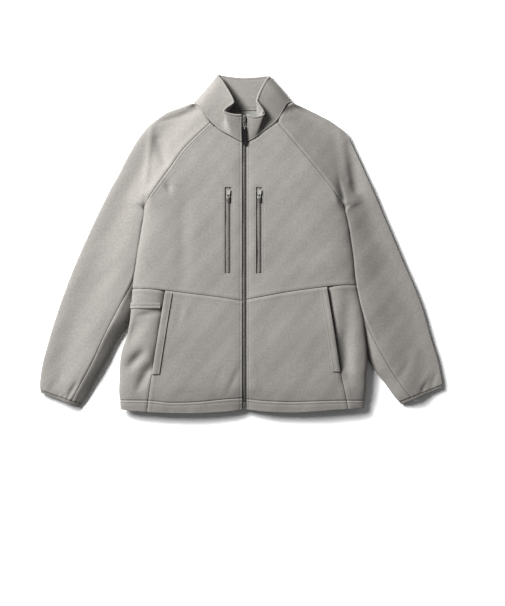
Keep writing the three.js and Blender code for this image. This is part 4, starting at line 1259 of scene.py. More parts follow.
def back_edge(side, y):
    inset = UNDER_ROUND * (1 - math.cos(SIDE_SEAM_SHARE * math.pi / 2))
    return np.where(y > ARMPIT_LOW, read(BACK_RAGLAN, "y", side, y), half_width(side, y) - inset)


def back_flat_edge(side, y):
    return np.minimum(half_width(side, y) - UNDER_ROUND, back_edge(side, y) - 9)


def back_point(x, y):
    height = np.where(x < 0, under_height("left", x, y), under_height("right", x, y))
    return np.stack([x, y + 0 * x, height], axis=-1)


def back_panel():
    grid = patch(
        [
            lambda y: -(back_edge("left", y) - 2 * SEAM),
            lambda y: -back_flat_edge("left", y),
            lambda y: back_flat_edge("right", y),
            lambda y: back_edge("right", y) - 2 * SEAM,
        ],
        [(4, ONE, ONE), (44, ONE, ONE), (4, ONE, ONE)],
        [
            lambda x: BACK_HEM,
            lambda x: ARMPIT_LOW - 14,
            lambda x: ARMPIT_LOW + 10,
            lambda x: BACK_NECK["y"] + BACK_NECK["rise"] * (x / BACK_NECK["half_width"]) ** 2,
        ],
        [(44, ALL, ONE), (6, ONE, ONE), (24, ONE, ALL)],
        back_point,
    )
    made = shell("back_panel", grid["points"], CLOTH, True, round_in=edge_round(grid["low"], CLOTH / 2))
    cloth("back_panel", made["piece"])


# Sleeves

def arm_section(side, row):
    at = {name: float(read(ARM_ROWS[side], "row", name, row)) for name in ARM_COLUMNS.split()[1:]}
    inner = np.array([at["innerX"], at["innerY"]])
    outer = np.array([at["outerX"], at["outerY"]])
    width = float(np.linalg.norm(outer - inner))
    return {
        "side": side, "inner": inner, "width": width, "across": (outer - inner) / width,
        "seam": at["seam"], "crest": at["crest"],
    }


def arm_lift(inset, crest, rounding):
    return ARM_INNER_FOLD + (crest - ARM_INNER_FOLD) * swell(inset / rounding, ARM_INNER_POWER)


def outer_slope(side, lift, distance, length):
    """The sleeve's top falls from beside the body to a flat outer part, and turns over at the outer fold."""
    share = ease((distance - OUTER_FLAT[side]) / (length * SLOPE_SHARE[side]))
    slope = mix(OUTER_LEVEL[side], SLEEVE_TOP, share)
    lower = (lift + slope - np.hypot(lift - slope, SLOPE_BLEND)) / 2
    return ARM_OUTER_FOLD + (lower - ARM_OUTER_FOLD) * swell(distance / OUTER_TURN, 2)


def raised_crest(crest):
    return crest + CREST_RAISE * float(ease((crest - CUFF_CREST) / 5))


def tube_top(arm, inset):
    rounding = min(max(arm["seam"] + 6, ARMPIT_ROUND), ARM_INNER_ROUND)
    lift = arm_lift(inset, raised_crest(arm["crest"]), rounding)
    return outer_slope(arm["side"], lift, arm["width"] - inset, arm["width"])


def tube_under(arm, inset):
    inner_side = ARM_INNER_FOLD * (1 - swell(inset / ARM_INNER_UNDER, 2))
    outer_side = ARM_OUTER_FOLD * (1 - swell((arm["width"] - inset) / ARM_OUTER_UNDER, 2))
    return inner_side + outer_side


def tube_points(arm, inset, z):
    flat = arm["inner"] + arm["across"] * inset[:, None]
    return np.concatenate([flat, z[:, None]], axis=1)


def tube_line(arm, top, under):
    """Points over the tube's top and back along its underside."""
    return np.concatenate([
        tube_points(arm, top, tube_top(arm, top)),
        tube_points(arm, under, tube_under(arm, under)),
    ])


def stops_to_fold(length, rounding):
    straight = length - rounding
    edge = EDGE_STOPS * min(1.0, 0.5 * straight / EDGE_STOPS[-1])
    t = np.arange(1, SLEEVE_CELLS["top"]) / SLEEVE_CELLS["top"]
    turn = np.arange(SLEEVE_CELLS["fold"] + 1) / SLEEVE_CELLS["fold"] * math.pi / 2
    return np.concatenate([edge, mix(edge[-1], straight, t), length - rounding * (1 - np.sin(turn))])


def stops_from_fold(length, rounding):
    turn = np.arange(1, SLEEVE_CELLS["under_fold"] + 1) / SLEEVE_CELLS["under_fold"] * math.pi / 2
    t = np.arange(1, SLEEVE_CELLS["under"] + 1) / SLEEVE_CELLS["under"]
    return np.concatenate([rounding * (1 - np.cos(turn)), mix(rounding, length, t)])


def closed_sleeve_row(side, row):
    arm = arm_section(side, row)
    start = arm["seam"] + SEAM
    end = arm["seam"] + UNDER_SEAM_OFFSET + SEAM
    top = start + stops_to_fold(arm["width"] - start, ARM_OUTER_ROUND)
    under = arm["width"] - stops_from_fold(arm["width"] - end, ARM_OUTER_UNDER)
    return tube_line(arm, top, under)


def open_sleeve_row(side, start, outer, back, crest, block_share):
    length = math.hypot(outer[0] - start[0], outer[1] - start[1])
    rounding = min(ARM_OUTER_ROUND, TOP_ROUND_SHARE * length)

    def height(x, y, distance):
        inset = np.abs(x) - (half_width(side, y) - ARM_TUCK)
        beside = mix(ARMPIT_ROUND, BESIDE_BODY[side], ease((y - ARMPIT_LOW) / BESIDE_BODY_LENGTH))
        arm = arm_lift(inset, raised_crest(crest), beside)
        block = block_share * front_height(side, x, np.maximum(y, ARMPIT_HIGH))
        lift = (block + arm + np.hypot(block - arm, CREST_BLEND)) / 2
        return mix(
            outer_slope(side, lift, length - distance, length),
            ARM_OUTER_FOLD + (lift - ARM_OUTER_FOLD) * swell((length - distance) / rounding, 2),
            ease((length - 60) / -40),
        )

    distance = stops_to_fold(length, rounding)
    t = distance / length
    x = mix(start[0], outer[0], t)
    y = mix(start[1], outer[1], t)
    mismatch = start[2] - height(start[0], start[1], 0.0)
    z = height(x, y, distance) + mismatch * bell(distance, SEAM_FIT_LENGTH)
    top = np.stack([x, y, z], -1)
    back_length = math.hypot(outer[0] - back[0], outer[1] - back[1])
    under_rounding = min(ARM_OUTER_UNDER, UNDER_ROUND_SHARE * length)
    run = stops_from_fold(back_length, under_rounding)
    x = mix(outer[0], back[0], run / back_length)
    y = mix(outer[1], back[1], run / back_length)
    rise = ARM_OUTER_FOLD * (1 - swell(run / under_rounding, 2))
    return np.concatenate([top, np.stack([x, y, np.maximum(rise, under_height(side, x, y))], -1)])


def raglan_sleeve_row(side, y):
    at = {name: float(read(RAGLAN_ROWS[side], "y", name, y)) for name in RAGLAN_COLUMNS.split()[1:]}
    height = np.array(float(y))
    start = body_point(side, upper_edge_girth(side, height), height)
    start = start + np.array([SIGN[side] * SEAM, 0, 0])
    back = (at["backX"] + SIGN[side] * 2 * SEAM, at["backY"])
    share = float(ease((y - BLOCK_START) / BLOCK_LENGTH))
    return open_sleeve_row(side, start, (at["outerX"], at["outerY"]), back, RAGLAN_CREST, share)


def neck_sleeve_row(side, row):
    front_x, front_y, outer_x, outer_y, back_x, back_y, crest = row
    start = (front_x, front_y, crest)
    return open_sleeve_row(side, start, (outer_x, outer_y), (back_x, back_y), NECK_CREST, 1.0)


def under_sleeve_line(arm):
    start = arm["seam"] - SEAM
    end = arm["seam"] + UNDER_SEAM_OFFSET - SEAM
    narrow = start <= UNDER_SLEEVE_NARROW
    edge = EDGE_STOPS[:3] * start / UNDER_SLEEVE_NARROW if narrow else EDGE_STOPS[EDGE_STOPS < 0.5 * start]
    share = np.sin(np.linspace(0, math.pi / 2, 9))[1:]
    top = np.concatenate([start - edge, (start - edge[-1]) * (1 - share)])
    top = np.interp(np.linspace(0, 1, UNDER_SLEEVE_STOPS), np.linspace(0, 1, len(top)), top)
    under = end * (1 - np.cos(np.linspace(0, math.pi / 2, 7)[1:]))
    return tube_line(arm, top, under)


def finer_rows(rows):
    """Rows at about a cell's distance, on smooth curves through the given rows."""
    key = np.stack(rows)
    span = np.linalg.norm(np.diff(key, axis=0), axis=-1).mean(axis=1)
    run = np.concatenate([[0], np.cumsum(span)])
    cells = [cells_for(length) for length in span]
    steps = [run[i] + span[i] * np.arange(count) / count for i, count in enumerate(cells)]
    places = np.concatenate([*steps, run[-1:]])
    flat = key.reshape(len(rows), -1)
    made = [read({"run": run, "value": flat[:, k]}, "run", "value", places) for k in range(flat.shape[1])]
    return np.stack(made, -1).reshape(len(places), *key.shape[1:])


def puckers(along, above):
    """Small gathers where the elastic binding draws the cuff in."""
    ripple = 0.5 + 0.5 * np.sin(along * 0.62 + 1.3 * np.sin(along * 0.13))
    return -PUCKER_DEPTH * ripple * bell(above, PUCKER_REACH)


def sleeve_grids(side):
    """The grids of the sleeve, from cuff to neck, and of the under-sleeve panel, each with its normals."""
    flip = side == "left"
    stations = np.linspace(CUFF_ROW, UNDER_SLEEVE_ROW, 25)
    closed = [closed_sleeve_row(side, row) for row in stations]
    under = [under_sleeve_line(arm_section(side, row)) for row in stations]
    opened = [closed_sleeve_row(side, ARMPIT_ROW)]
    opened += [raglan_sleeve_row(side, y) for y in RAGLAN_STATIONS]
    opened += [neck_sleeve_row(side, row) for row in NECK_ROWS[side]]
    both = finer_rows([np.concatenate([a, b[::-1]]) for a, b in zip(closed, under)])
    both_normals = surface_normals(both, flip, True)
    columns = len(closed[0])
    armpit = finer_rows([closed[-1], *opened[:2]])
    shoulder = np.stack(opened[1:len(RAGLAN_STATIONS)])
    neck = finer_rows(opened[len(RAGLAN_STATIONS):])
    grid = np.concatenate([both[:, :columns], armpit[1:-1], shoulder, neck])
    normals = surface_normals(grid, flip)
    normals[:len(both)] = both_normals[:, :columns]
    return (grid, normals), (both[:, columns:][:, ::-1], both_normals[:, columns:][:, ::-1])


def sleeve(side):
    (grid, normals), (panel, panel_normals) = sleeve_grids(side)
    from_start = run_lengths(grid, 1)
    above_cuff = run_lengths(grid, 0)
    fold = len(EDGE_STOPS) + SLEEVE_CELLS["top"] - 1 + SLEEVE_CELLS["fold"]
    on_top = np.arange(grid.shape[1]) <= fold
    relief = (
        (cloth_relief(grid) + NECK_ROLL * seam_roll(above_cuff[-1:] - above_cuff)) * on_top
        + RAGLAN_ROLL * seam_roll(from_start) * armpit_calm(grid[..., 1])
        + puckers(from_start, above_cuff) * ease((grid[..., 2] - 3) / 6)
    )
    made = shell(f"sleeve_{side}", grid, CLOTH, side == "left", relief=relief, normals=normals)
    cloth(f"sleeve_{side}", made["piece"], with_pieces=[cuff_binding(side)])
    under_sleeve(side, panel, panel_normals)


def under_sleeve(side, panel, normals):
    from_start = run_lengths(panel, 1)
    relief = (
        cloth_relief(panel) + seam_roll(from_start) * ease((panel[..., 2] - 1) / 4)
        + puckers(from_start, run_lengths(panel, 0)) * ease((panel[..., 2] - 3) / 6)
    )
    made = shell(f"under_sleeve_{side}", panel, CLOTH, side == "right", relief=relief, normals=normals)
    cloth(f"under_sleeve_{side}", made["piece"])


def binding_ring(arm):
    """The points round the cuff: over the top from the inner fold, and back along the underside."""
    quarter = math.pi / 2
    inner_top = ARM_INNER_ROUND * (1 - np.cos(np.linspace(0, 0.9, 10) * quarter))
    straight = arm["width"] - ARM_INNER_ROUND - ARM_OUTER_ROUND
    middle = ARM_INNER_ROUND + straight * np.linspace(0, 1, 6)[:-1]
    turn = np.linspace(0, quarter, 12)
    outer_top = arm["width"] - ARM_OUTER_ROUND * (1 - np.sin(turn))
    top = np.concatenate([inner_top, middle, outer_top])
    outer_under = arm["width"] - ARM_OUTER_UNDER * (1 - np.cos(turn[1:]))
    under = mix(arm["width"] - ARM_OUTER_UNDER, ARM_INNER_UNDER, np.linspace(0, 1, 8)[1:])
    inner_under = ARM_INNER_UNDER * (1 - np.sin(np.linspace(0, quarter, 6)[1:-1]))
    return tube_line(arm, top, np.concatenate([outer_under, under, inner_under]))


def cuff_binding(side):
    rows = np.linspace(0, CUFF_ROW - CUFF_GAP_ROW, 13)
    grid = np.stack([binding_ring(arm_section(side, row)) for row in rows])
    above = run_lengths(grid, 0)
    rounding = edge_round(np.minimum(above, above[-1:] - above), CLOTH / 2)
    relief = -rounding * ease((grid[..., 2] - 0.5) / 2)
    name = f"cuff_binding_{side}"
    made = shell(name, grid, CLOTH, side == "left", wrap=True, relief=relief, round_in=rounding)
    on_top = grid[BINDING_STITCH_ROW, :, 2] > 8
    sew(made["outer"][BINDING_STITCH_ROW][on_top], made["normals"][BINDING_STITCH_ROW][on_top])
    return dress(made["piece"], BINDING, replaced=[name])


# Collar

def collar_grid():
    """A curved line from the neck seam to the rim for each place along the collar."""
    places = np.linspace(COLLAR_ROWS["place"][0], COLLAR_ROWS["place"][-1], COLLAR_COLUMNS)
    at = {name: read(COLLAR_ROWS, "place", name, places) for name in COLLAR_ROWS}
    base, rim = (np.stack([at[end + axis] for axis in "XYZ"], -1) for end in ("base", "rim"))
    middle = (base + rim) / 2 + np.stack([at["lean"], 0 * places, at["swell"]], -1)
    near = EDGE_STOPS / COLLAR_HEIGHT
    between = mix(near[-1], 1 - near[-1], np.arange(1, COLLAR_CELLS) / COLLAR_CELLS)
    t = np.concatenate([near, between, 1 - near[::-1]])[:, None, None]
    grid = (1 - t) ** 2 * base + 2 * t * (1 - t) * middle + t ** 2 * rim
    grid[..., 2] = np.maximum(grid[..., 2], 0)
    return places, grid


def sew_collar(made, places, from_rim, across, lifted):
    """Lines outside along rim and seam for each half, inside along the back, and beside the zip."""
    rim_row = int(np.argmin(np.abs(from_rim[:, COLLAR_BACK_COLUMN] - SEAM_STITCH)))
    half = len(places) // 2
    for part in (slice(0, half), slice(half, None)):
        for row in (rim_row, COLLAR_SEAM_ROWS[1]):
            keep = lifted[row, part] > 0.9
            sew(made["outer"][row, part][keep], made["normals"][row, part][keep])
    back = (places > COLLAR_BACK[0]) & (places < COLLAR_BACK[1])
    for row in (*COLLAR_SEAM_ROWS, rim_row):
        sew(made["inner"][row][back], -made["normals"][row][back])
    first = int(np.argmax(across[COLLAR_MIDDLE_ROW] > ZIP_STITCH))
    for column in (first, len(places) - 1 - first):
        sew_column(made, column, 4, -4)


def collar():
    places, grid = collar_grid()
    from_base = run_lengths(grid, 0)
    from_rim = from_base[-1:] - from_base
    across = run_lengths(grid, 1)
    to_zip = np.minimum(across, across[:, -1:] - across)
    turned = np.minimum(from_rim, to_zip)
    lifted = ease((grid[..., 2] - 1.5) / 4)
    rounding = edge_round(turned, COLLAR_CLOTH / 2)
    bead = lifted * RIM_BEAD * bell(turned - RIM_BEAD_PLACE, RIM_BEAD_WIDTH)
    relief = bead + lifted * (
        NECK_ROLL * seam_roll(from_base) + BASE_BEAD * bell(from_base - BASE_BEAD_PLACE, BASE_BEAD_WIDTH)
        + stitch_groove(from_rim - SEAM_STITCH) + stitch_groove(to_zip - ZIP_STITCH)
        + 0.5 * unevenness(grid[..., 0], grid[..., 1]) - rounding
    )
    dents = bell(from_rim - SEAM_STITCH, 1.1) + bell(from_base - 2.5, 0.9) + bell(from_base - 6, 0.9)
    round_in = rounding + INNER_DENT * dents - bead
    made = shell("collar", grid, COLLAR_CLOTH, True, relief=relief, round_in=round_in)
    sew_collar(made, places, from_rim, across, lifted)
    cloth("collar", made["piece"])


# Pieces that lie on the panels, and the tape inside the neck

def laid_on_panel(name, grid, rise, thickness, side, extra_relief):
    base = grid["points"]
    normals = surface_normals(base, side == "left")
    lifted = base + normals * (rise + cloth_relief(base))[..., None]
    nearest = np.minimum(np.minimum(grid["near"], grid["far"]), np.minimum(grid["low"], grid["high"]))
    rounding = edge_round(nearest, thickness / 2)
    relief = extra_relief - rounding
    return shell(name, lifted, thickness, side == "left", relief=relief, round_in=rounding, normals=normals)


def pocket_welt(side):
    grid = body_patch(
        side,
        [lambda y: pocket_girth(side, y) - WELT_WIDTH, lambda y: pocket_girth(side, y) - SEAM],
        [(2, SOME, SOME)],
        [lambda girth: WELT_BOTTOM[side], lambda girth: waist_seam(side, girth) - WELT_TOP_GAP],
        [(42, ALL, ALL)],
    )
    puff = 0.9 * bell(grid["far"] - 5, 5) - 0.4 * bell(grid["near"] - WELT_STITCH, 1.0)
    name = f"pocket_welt_{side}"
    made = laid_on_panel(name, grid, LAID_ON + WELT_HEIGHT, WELT_HEIGHT, side, puff)
    sew_column(made, index_of(grid["columns"], 0, 0.0, WELT_STITCH), 3, -3)
    cloth(name, made["piece"])


def side_band():
    middle = SIDE_BAND["middle"]
    grid = body_patch(
        "left",
        [
            lambda y: girth_of("left", SIDE_BAND["near"], y),
            lambda y: fold_girth("left", y) + SIDE_BAND["past_fold"],
        ],
        [(22, ALL, ALL)],
        [lambda girth: SIDE_BAND["bottom"], lambda girth: middle, lambda girth: SIDE_BAND["top"]],
        [(12, ONE, ONE), (12, ONE, ONE)],
    )
    groove = -0.9 * bell(grid["y"] - middle, 1.0)
    height = SIDE_BAND["height"]
    made = laid_on_panel("side_band_left", grid, 2 * LAID_ON + height, height, "left", groove)
    sew_row(made, index_of(grid["rows"], 1, 0.0, 0.0), 2, -6)
    cloth("side_band_left", made["piece"])


def neck_tape():
    x = np.linspace(-NECK_TAPE["half_width"], NECK_TAPE["half_width"], 43)
    y = np.linspace(NECK_TAPE["bottom"], NECK_TAPE["top"], 20)
    flat_x, flat_y = np.meshgrid(x, y)
    grid = np.stack([flat_x, flat_y, np.full_like(flat_x, CLOTH + LAID_ON + NECK_TAPE_CLOTH)], -1)
    nearest = np.minimum(flat_y - NECK_TAPE["bottom"], NECK_TAPE["top"] - flat_y)
    made = shell("neck_tape", grid, NECK_TAPE_CLOTH, relief=-edge_round(nearest, NECK_TAPE_CLOTH / 2))
    for row in (2, -3):
        sew_row(made, row)
    cloth("neck_tape", made["piece"], PALE_TAPE)


# Zips

def zip_height(y):
    base_y = COLLAR_ROWS["baseY"][0]
    share = (y - base_y) / (COLLAR_ROWS["rimY"][0] - base_y)
    on_collar = mix(COLLAR_ROWS["baseZ"][0], COLLAR_ROWS["rimZ"][0], share)
    return np.where(y < base_y, body_top(ZIP_EDGE, y), on_collar)


def tape_depth(y):
    under_hem = TAPE_HEM_DROP * (1 - ease((y - TAPE_HEM_TOP) / TAPE_HEM_LENGTH))
    on_collar = ease((y - TAPE_COLLAR_START) / TAPE_COLLAR_LENGTH)
    return mix(CLOTH + LAID_ON + under_hem, COLLAR_CLOTH + 2 * LAID_ON, on_collar)


def tape_height(y):
    return np.interp(y, ZIP_STATIONS, zip_height(ZIP_STATIONS) - tape_depth(ZIP_STATIONS))


def zip_strip(x, low, high, rise):
    y = np.linspace(low, high, cells_for(high - low, 3.0) + 1)
    across, up = np.meshgrid(np.array(x, float), y)
    return np.stack([across, up, tape_height(up) + rise], -1)


def select_only(*pieces):
    bpy.ops.object.select_all(action="DESELECT")
    for piece in pieces:
        piece.select_set(True)
    bpy.context.view_layer.objects.active = pieces[0]


def joined(name, pieces):
    select_only(*pieces)
    bpy.ops.object.join()
    pieces[0].name = name
    pieces[0].data.name = name
    return pieces[0]


def coil_chain(name, node, material, core, coil, low, high, centre_at):
    """A core and the coil's turns along each of its edges in turn, half a pitch apart."""
    pitch = coil["pitch"]
    places = []
    for hand, shift in ((-1, 0.0), (1, 0.5)):
        y = np.arange(low + pitch * (0.5 + shift), high - pitch * 0.5, pitch)
        point, up = centre_at(y)
        along = np.tile([float(hand), 0.0, 0.0], (len(y), 1))
        along = unit(along - up * np.sum(along * up, axis=1, keepdims=True))
        places.append((point + along * coil["reach"], along, up))
    turns = stamped("coil_turns", tooth_template(*coil["tooth"]), places)
    dress(joined(name, [core["piece"], turns]), material, replaced=[node])


def main_zip():
    for side in ("left", "right"):
        ends = (-TAPE_HALF, -LAID_ON / 2) if side == "left" else (LAID_ON / 2, TAPE_HALF)
        name = f"main_zip_tape_{side}"
        made = shell(name, zip_strip(np.linspace(*ends, 9), ZIP_BOTTOM, ZIP_TOP, 0.0), TAPE_CLOTH)
        cloth(name, made["piece"], ZIP_TAPE)

    def centre_at(y):
        slope = (tape_height(y + 1) - tape_height(y - 1)) / 2
        point = np.stack([0 * y, y, tape_height(y) + LAID_ON + MAIN_COIL["rise"]], -1)
        return point, unit(np.stack([0 * y, -slope, np.ones_like(y)], -1))

    core_grid = zip_strip(MAIN_CORE, STOP_TOP + LAID_ON, ZIP_TOP, LAID_ON + MAIN_COIL["core_rise"])
    core = shell("coil_core", core_grid, MAIN_COIL["core"])
    low = STOP_TOP + 1
    high = ZIP_TOP - 1
    coil_chain("zip_chain_main", "main_zip_chain", COIL, core, MAIN_COIL, low, high, centre_at)


def chest_strip(side, half, bottom, top, drop, columns):
    """A strip of the chest's surface along the slot's middle, let down or lifted by a drop."""
    y = np.linspace(bottom, top, cells_for(top - bottom) + 1)
    girth, up = np.meshgrid(slot_middle(side) + np.linspace(-half, half, columns), y)
    base = body_point(side, girth, up)
    return base + surface_normals(base, side == "left") * drop


def slot_middle(side):
    return (SLOT_NEAR[side] + SLOT_FAR[side]) / 2


def chest_zip(side):
    middle = slot_middle(side)
    flip = side == "left"
    half = (SLOT_FAR[side] - SLOT_NEAR[side]) / 2 + CHEST_TAPE_UNDERLAP
    bottom = CHEST_ZIP_BOTTOM - CHEST_TAPE_BEYOND
    top = CHEST_ZIP_TOP + CHEST_TAPE_BEYOND
    name = f"chest_zip_tape_{side}"
    made = shell(name, chest_strip(side, half, bottom, top, -(CLOTH + LAID_ON), 15), TAPE_CLOTH, flip)
    cloth(name, made["piece"], ZIP_TAPE)
    low = CHEST_ZIP_BOTTOM + CHEST_CHAIN_SHORT
    high = CHEST_ZIP_TOP - CHEST_CHAIN_SHORT
    core_grid = chest_strip(side, CHEST_CORE_HALF, low, high, CHEST_COIL["core_rise"] - CLOTH, 4)
    core = shell("coil_core", core_grid, CHEST_COIL["core"], flip)

    def centre_at(y):
        base = body_point(side, np.full_like(y, middle), y)
        ahead = body_point(side, np.full_like(y, middle), y + 1)
        beside = body_point(side, np.full_like(y, middle + 1), y)
        up = unit(np.cross(beside - base, ahead - base)) * SIGN[side]
        return base + up * (CHEST_COIL["rise"] - CLOTH), up

    node = f"chest_zip_chain_{side}"
    coil_chain(f"zip_chain_chest_{side}", node, PALE_COIL, core, CHEST_COIL, low, high, centre_at)


# Hardware

def cube_at(size, place):
    piece = fresh_piece(bpy.ops.mesh.primitive_cube_add, size=1, location=[v * MM for v in place])
    piece.scale = [v * MM for v in size]
    bpy.ops.object.transform_apply(location=True, rotation=True, scale=True)
    return piece


def pick(piece, faces=None, edges=None, verts=None):
    """In edit mode, selects only the parts for which a test on millimetres says yes."""
    mesh = bmesh.from_edit_mesh(piece.data)
    bpy.ops.mesh.select_all(action="DESELECT")
    if verts:
        bpy.ops.mesh.select_mode(type="VERT")
        for vert in mesh.verts:
            vert.select = verts(vert.co / MM)
    if edges:
        bpy.ops.mesh.select_mode(type="EDGE")
        for edge in mesh.edges:
            edge.select = edges(edge.verts[0].co / MM, edge.verts[1].co / MM)
    if faces:
        bpy.ops.mesh.select_mode(type="FACE")
        for face in mesh.faces:
            face.select = faces(face.calc_center_median() / MM, face.normal)
    mesh.select_flush_mode()
    bmesh.update_edit_mesh(piece.data)


def upright(a, b):
    return abs(a.x - b.x) < 0.5 and abs(a.y - b.y) < 0.5 and abs(a.z - b.z) > 0.5


def softened(piece, width, segments=3, angle=40):
    select_only(piece)
    bevel = piece.modifiers.new("soft_edges", "BEVEL")
    bevel.width = width * MM
    bevel.segments = segments
    bevel.limit_method = "ANGLE"
    bevel.angle_limit = math.radians(angle)
    bpy.ops.object.modifier_apply(modifier=bevel.name)
    bpy.ops.object.shade_smooth_by_angle(angle=math.radians(35))
    return piece


def pierced(piece, wall, axis):
    """Opens a block right through along an axis, leaving a wall all round."""
    bpy.ops.object.mode_set(mode="EDIT")
    pick(piece, faces=lambda centre, normal: abs(normal[axis]) > 0.9)
    bpy.ops.mesh.inset(thickness=wall * MM, use_individual=True)
    bpy.ops.mesh.bridge_edge_loops()
    bpy.ops.object.mode_set(mode="OBJECT")
    return piece


def tapered_plate(size, place, narrow, narrow_end, corner):
    """A plate, left in edit mode, that narrows towards one end and has round corners."""
    plate = cube_at(size, place)
    bpy.ops.object.mode_set(mode="EDIT")
    pick(plate, verts=narrow_end)
    bpy.ops.transform.resize(value=(narrow, 1, 1))
    pick(plate, edges=upright)
    bpy.ops.mesh.bevel(offset=corner * MM, segments=4, affect="EDGES")
    return plate


def slider_piece(name, width, length, plate, bridge_length, bridge_height, bridge_width):
    body = tapered_plate((width, length, plate), (0, 0, plate / 2), 0.72, lambda co: co.y < 0, 1.9)
    bpy.ops.object.mode_set(mode="OBJECT")
    softened(body, 0.45)
    arch = cube_at((bridge_width, bridge_length, bridge_height), (0, 0, plate + bridge_height / 2 - 0.3))
    softened(pierced(arch, 1.1, 0), 0.4, 3, 50)
    wings = []
    for hand in (-1, 1):
        wing = cube_at((0.9, length * 0.62, 1.0), (hand * width * 0.36, -length * 0.02, plate + 0.35))
        wings.append(softened(wing, 0.3, 2))
    return joined(name, [body, arch, *wings])


def pull_piece(link_width, link_length, rod, tab_width, tab_top, tab_length, tab_height):
    reach = link_length + rod / 2
    link = cube_at((link_width, reach, rod), (0, rod / 2 - reach / 2, 0))
    softened(pierced(link, rod, 2), rod * 0.36, 3, 50)
    middle = -link_length - tab_length / 2 + rod / 4
    size = (tab_width, tab_length + rod / 2, tab_height)
    tab = tapered_plate(size, (0, middle, 0), tab_top / tab_width, lambda co: co.y > middle, 1.7)
    pick(tab, faces=lambda centre, normal: abs(normal.z) > 0.9)
    bpy.ops.mesh.inset(thickness=1.3 * MM, use_individual=True)
    bpy.ops.mesh.inset(thickness=0.5 * MM, depth=-0.45 * MM, use_individual=True)
    bpy.ops.object.mode_set(mode="OBJECT")
    softened(tab, 0.35)
    return link, tab


def rivet_piece():
    radius = RIVET["radius"] * MM
    height = RIVET["height"] * MM
    place = (0, RIVET["y"] * MM, 0)
    rivet = fresh_piece(
        bpy.ops.mesh.primitive_cylinder_add, vertices=20, radius=radius, depth=height, location=place,
    )
    bpy.ops.object.transform_apply(location=True, rotation=True, scale=True)
    return softened(rivet, 0.35)


def set_in_place(piece, turn_x, turn_z, place):
    """Turns a piece modelled at the origin and moves its points to its place in the frame."""
    turned = Matrix.Rotation(turn_x, 4, "X") @ Matrix.Rotation(turn_z, 4, "Z")
    moved = Matrix.Translation(Vector(place) * MM + Vector(ORIGIN.tolist()))
    piece.data.transform(moved @ turned)
    piece.data.update()
    return piece


def main_hardware():
    zip_end = {name: values[0] for name, values in COLLAR_ROWS.items()}
    slope = math.atan2(zip_end["rimZ"] - zip_end["baseZ"], zip_end["rimY"] - zip_end["baseY"])
    height = float(tape_height(MAIN_SLIDER_Y)) + LAID_ON + CHAIN_HEIGHT + LAID_ON
    seat = Vector((0, MAIN_SLIDER_Y, height))
    slider = slider_piece("slider_main", **MAIN_SLIDER)
    set_in_place(slider, slope, 0, seat)
    dress(slider, METAL, replaced=["main_zip_slider"])
    link, tab = pull_piece(**MAIN_PULL)
    link = joined("pull_link_main", [link, rivet_piece()])
    ribs = [cube_at(RIB_SIZE, (0, RIB_START - RIB_PITCH * i, 0)) for i in range(RIB_COUNT)]
    pull = joined("pull_main", [tab, *(softened(rib, 0.3, 2) for rib in ribs)])
    pivot = seat + Matrix.Rotation(slope, 3, "X") @ Vector(MAIN_PIVOT)
    for piece in (pull, link):
        set_in_place(piece, slope - MAIN_PULL_DROOP, 0, pivot)
    dress(pull, BLACK_RUBBER, "main_pull", ["main_zip_pull"])
    dress(link, METAL, "main_pull")


def bottom_box():
    length = STOP_TOP - ZIP_BOTTOM
    stop = softened(cube_at((BOX_WIDTH, length, BOX_HEIGHT), (0, 0, 0)), 0.7)
    pin = softened(cube_at(PIN_SIZE, PIN_PLACE), 0.25, 2)
    stop = joined("zip_bottom_box", [stop, pin])
    middle = (STOP_TOP + ZIP_BOTTOM) / 2
    tilt = math.atan2(float(tape_height(STOP_TOP) - tape_height(ZIP_BOTTOM)), length)
    set_in_place(stop, tilt, 0, (0, middle, float(tape_height(middle)) + LAID_ON + BOX_HEIGHT / 2))
    dress(stop, METAL, replaced=["main_zip_stop"])


def chest_hardware(side):
    x = SIGN[side] * slot_middle(side)
    top = float(front_height(side, np.array(x), np.array(CHEST_SLIDER_Y)))
    seat = Vector((x, CHEST_SLIDER_Y, top - CLOTH + CHAIN_HEIGHT + LAID_ON))
    slider = slider_piece(f"slider_chest_{side}", **CHEST_SLIDER)
    set_in_place(slider, 0, 0, seat)
    dress(slider, METAL, replaced=[f"chest_zip_{side}_slider"])
    pull = joined(f"pull_chest_{side}", pull_piece(**CHEST_PULL))
    set_in_place(pull, -CHEST_PULL_DROOP, math.pi, seat + Vector(CHEST_PIVOT))
    dress(pull, PALE_PLASTIC, f"chest_pull_{side}", [f"chest_zip_{side}_pull"])


# Camera, light and floor

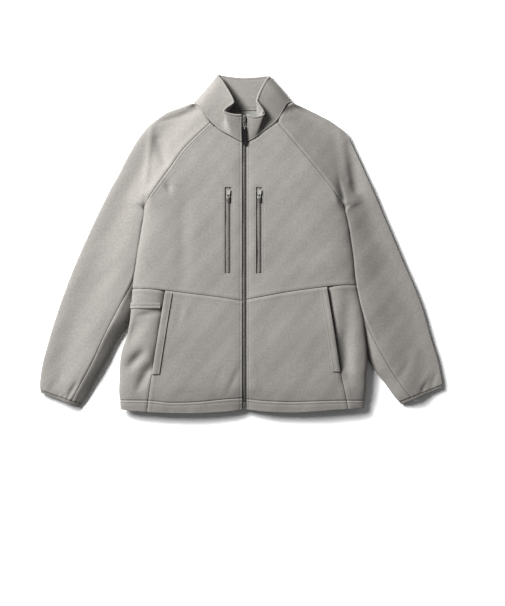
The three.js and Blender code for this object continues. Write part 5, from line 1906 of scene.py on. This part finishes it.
def add_camera():
    data = bpy.data.cameras.new("camera")
    data.sensor_width = SENSOR
    data.lens = SENSOR * (CAMERA_HEIGHT - CLOTH_LEVEL) / (PHOTO_HEIGHT * PIXEL)
    data.clip_end = 30
    camera = bpy.data.objects.new("camera", data)
    x = ORIGIN[0] + (PHOTO_WIDTH / 2 - ZIP_PIXEL) * PIXEL
    y = ORIGIN[1] + (HEM_PIXEL - PHOTO_HEIGHT / 2) * PIXEL
    camera.location = (x, y, CAMERA_HEIGHT)
    bpy.context.scene.collection.objects.link(camera)
    bpy.context.scene.camera = camera


def add_light(data, place):
    light = bpy.data.objects.new(data.name, data)
    light.location = place
    light.rotation_euler = (-Vector(place)).to_track_quat("-Z", "Y").to_euler()
    bpy.context.scene.collection.objects.link(light)


def add_sun(name, place, strength, angle):
    data = bpy.data.lights.new(name, "SUN")
    data.energy = strength
    data.angle = math.radians(angle)
    add_light(data, place)


def add_area_light(name, place, size, power):
    data = bpy.data.lights.new(name, "AREA")
    data.shape = "DISK"
    data.size = size
    data.energy = power
    add_light(data, place)


def add_floor():
    floor = fresh_piece(bpy.ops.mesh.primitive_plane_add, size=FLOOR_SIZE, location=(0, 0, FLOOR_LEVEL))
    floor.name = "floor"
    floor.data.materials.append(new_material("white_floor", MATT_WHITE)[0])


def add_world():
    """White to the camera, and a weak light to all else."""
    world = bpy.data.worlds.new("world")
    world.use_nodes = True
    tree = world.node_tree
    background = tree.nodes["Background"]
    background.inputs["Color"].default_value = (1.0, 1.0, 1.0, 1)
    seen = tree.nodes.new("ShaderNodeLightPath").outputs["Is Camera Ray"]
    strength = plus(tree, times(tree, seen, 1 - AMBIENT), AMBIENT)
    tree.links.new(strength, background.inputs["Strength"])
    bpy.context.scene.world = world
    bpy.context.scene.view_settings.view_transform = "Standard"
    bpy.context.scene.view_settings.gamma = GAMMA


add_camera()
add_floor()
add_world()
add_sun("key", KEY_PLACE, KEY_STRENGTH, KEY_ANGLE)
add_area_light("near_softbox", SOFTBOX_PLACE, SOFTBOX_SIZE, SOFTBOX_POWER)

for part_side in ("left", "right"):
    chest_panel(part_side)
    lower_panel(part_side)
    side_panel(part_side)
    sleeve(part_side)
    pocket_welt(part_side)
    chest_zip(part_side)
    chest_hardware(part_side)
back_panel()
collar()
side_band()
neck_tape()
main_zip()
main_hardware()
bottom_box()
stitches = stamped("topstitching", stitch_template(), stitch_runs)
dress(stitches, THREAD)
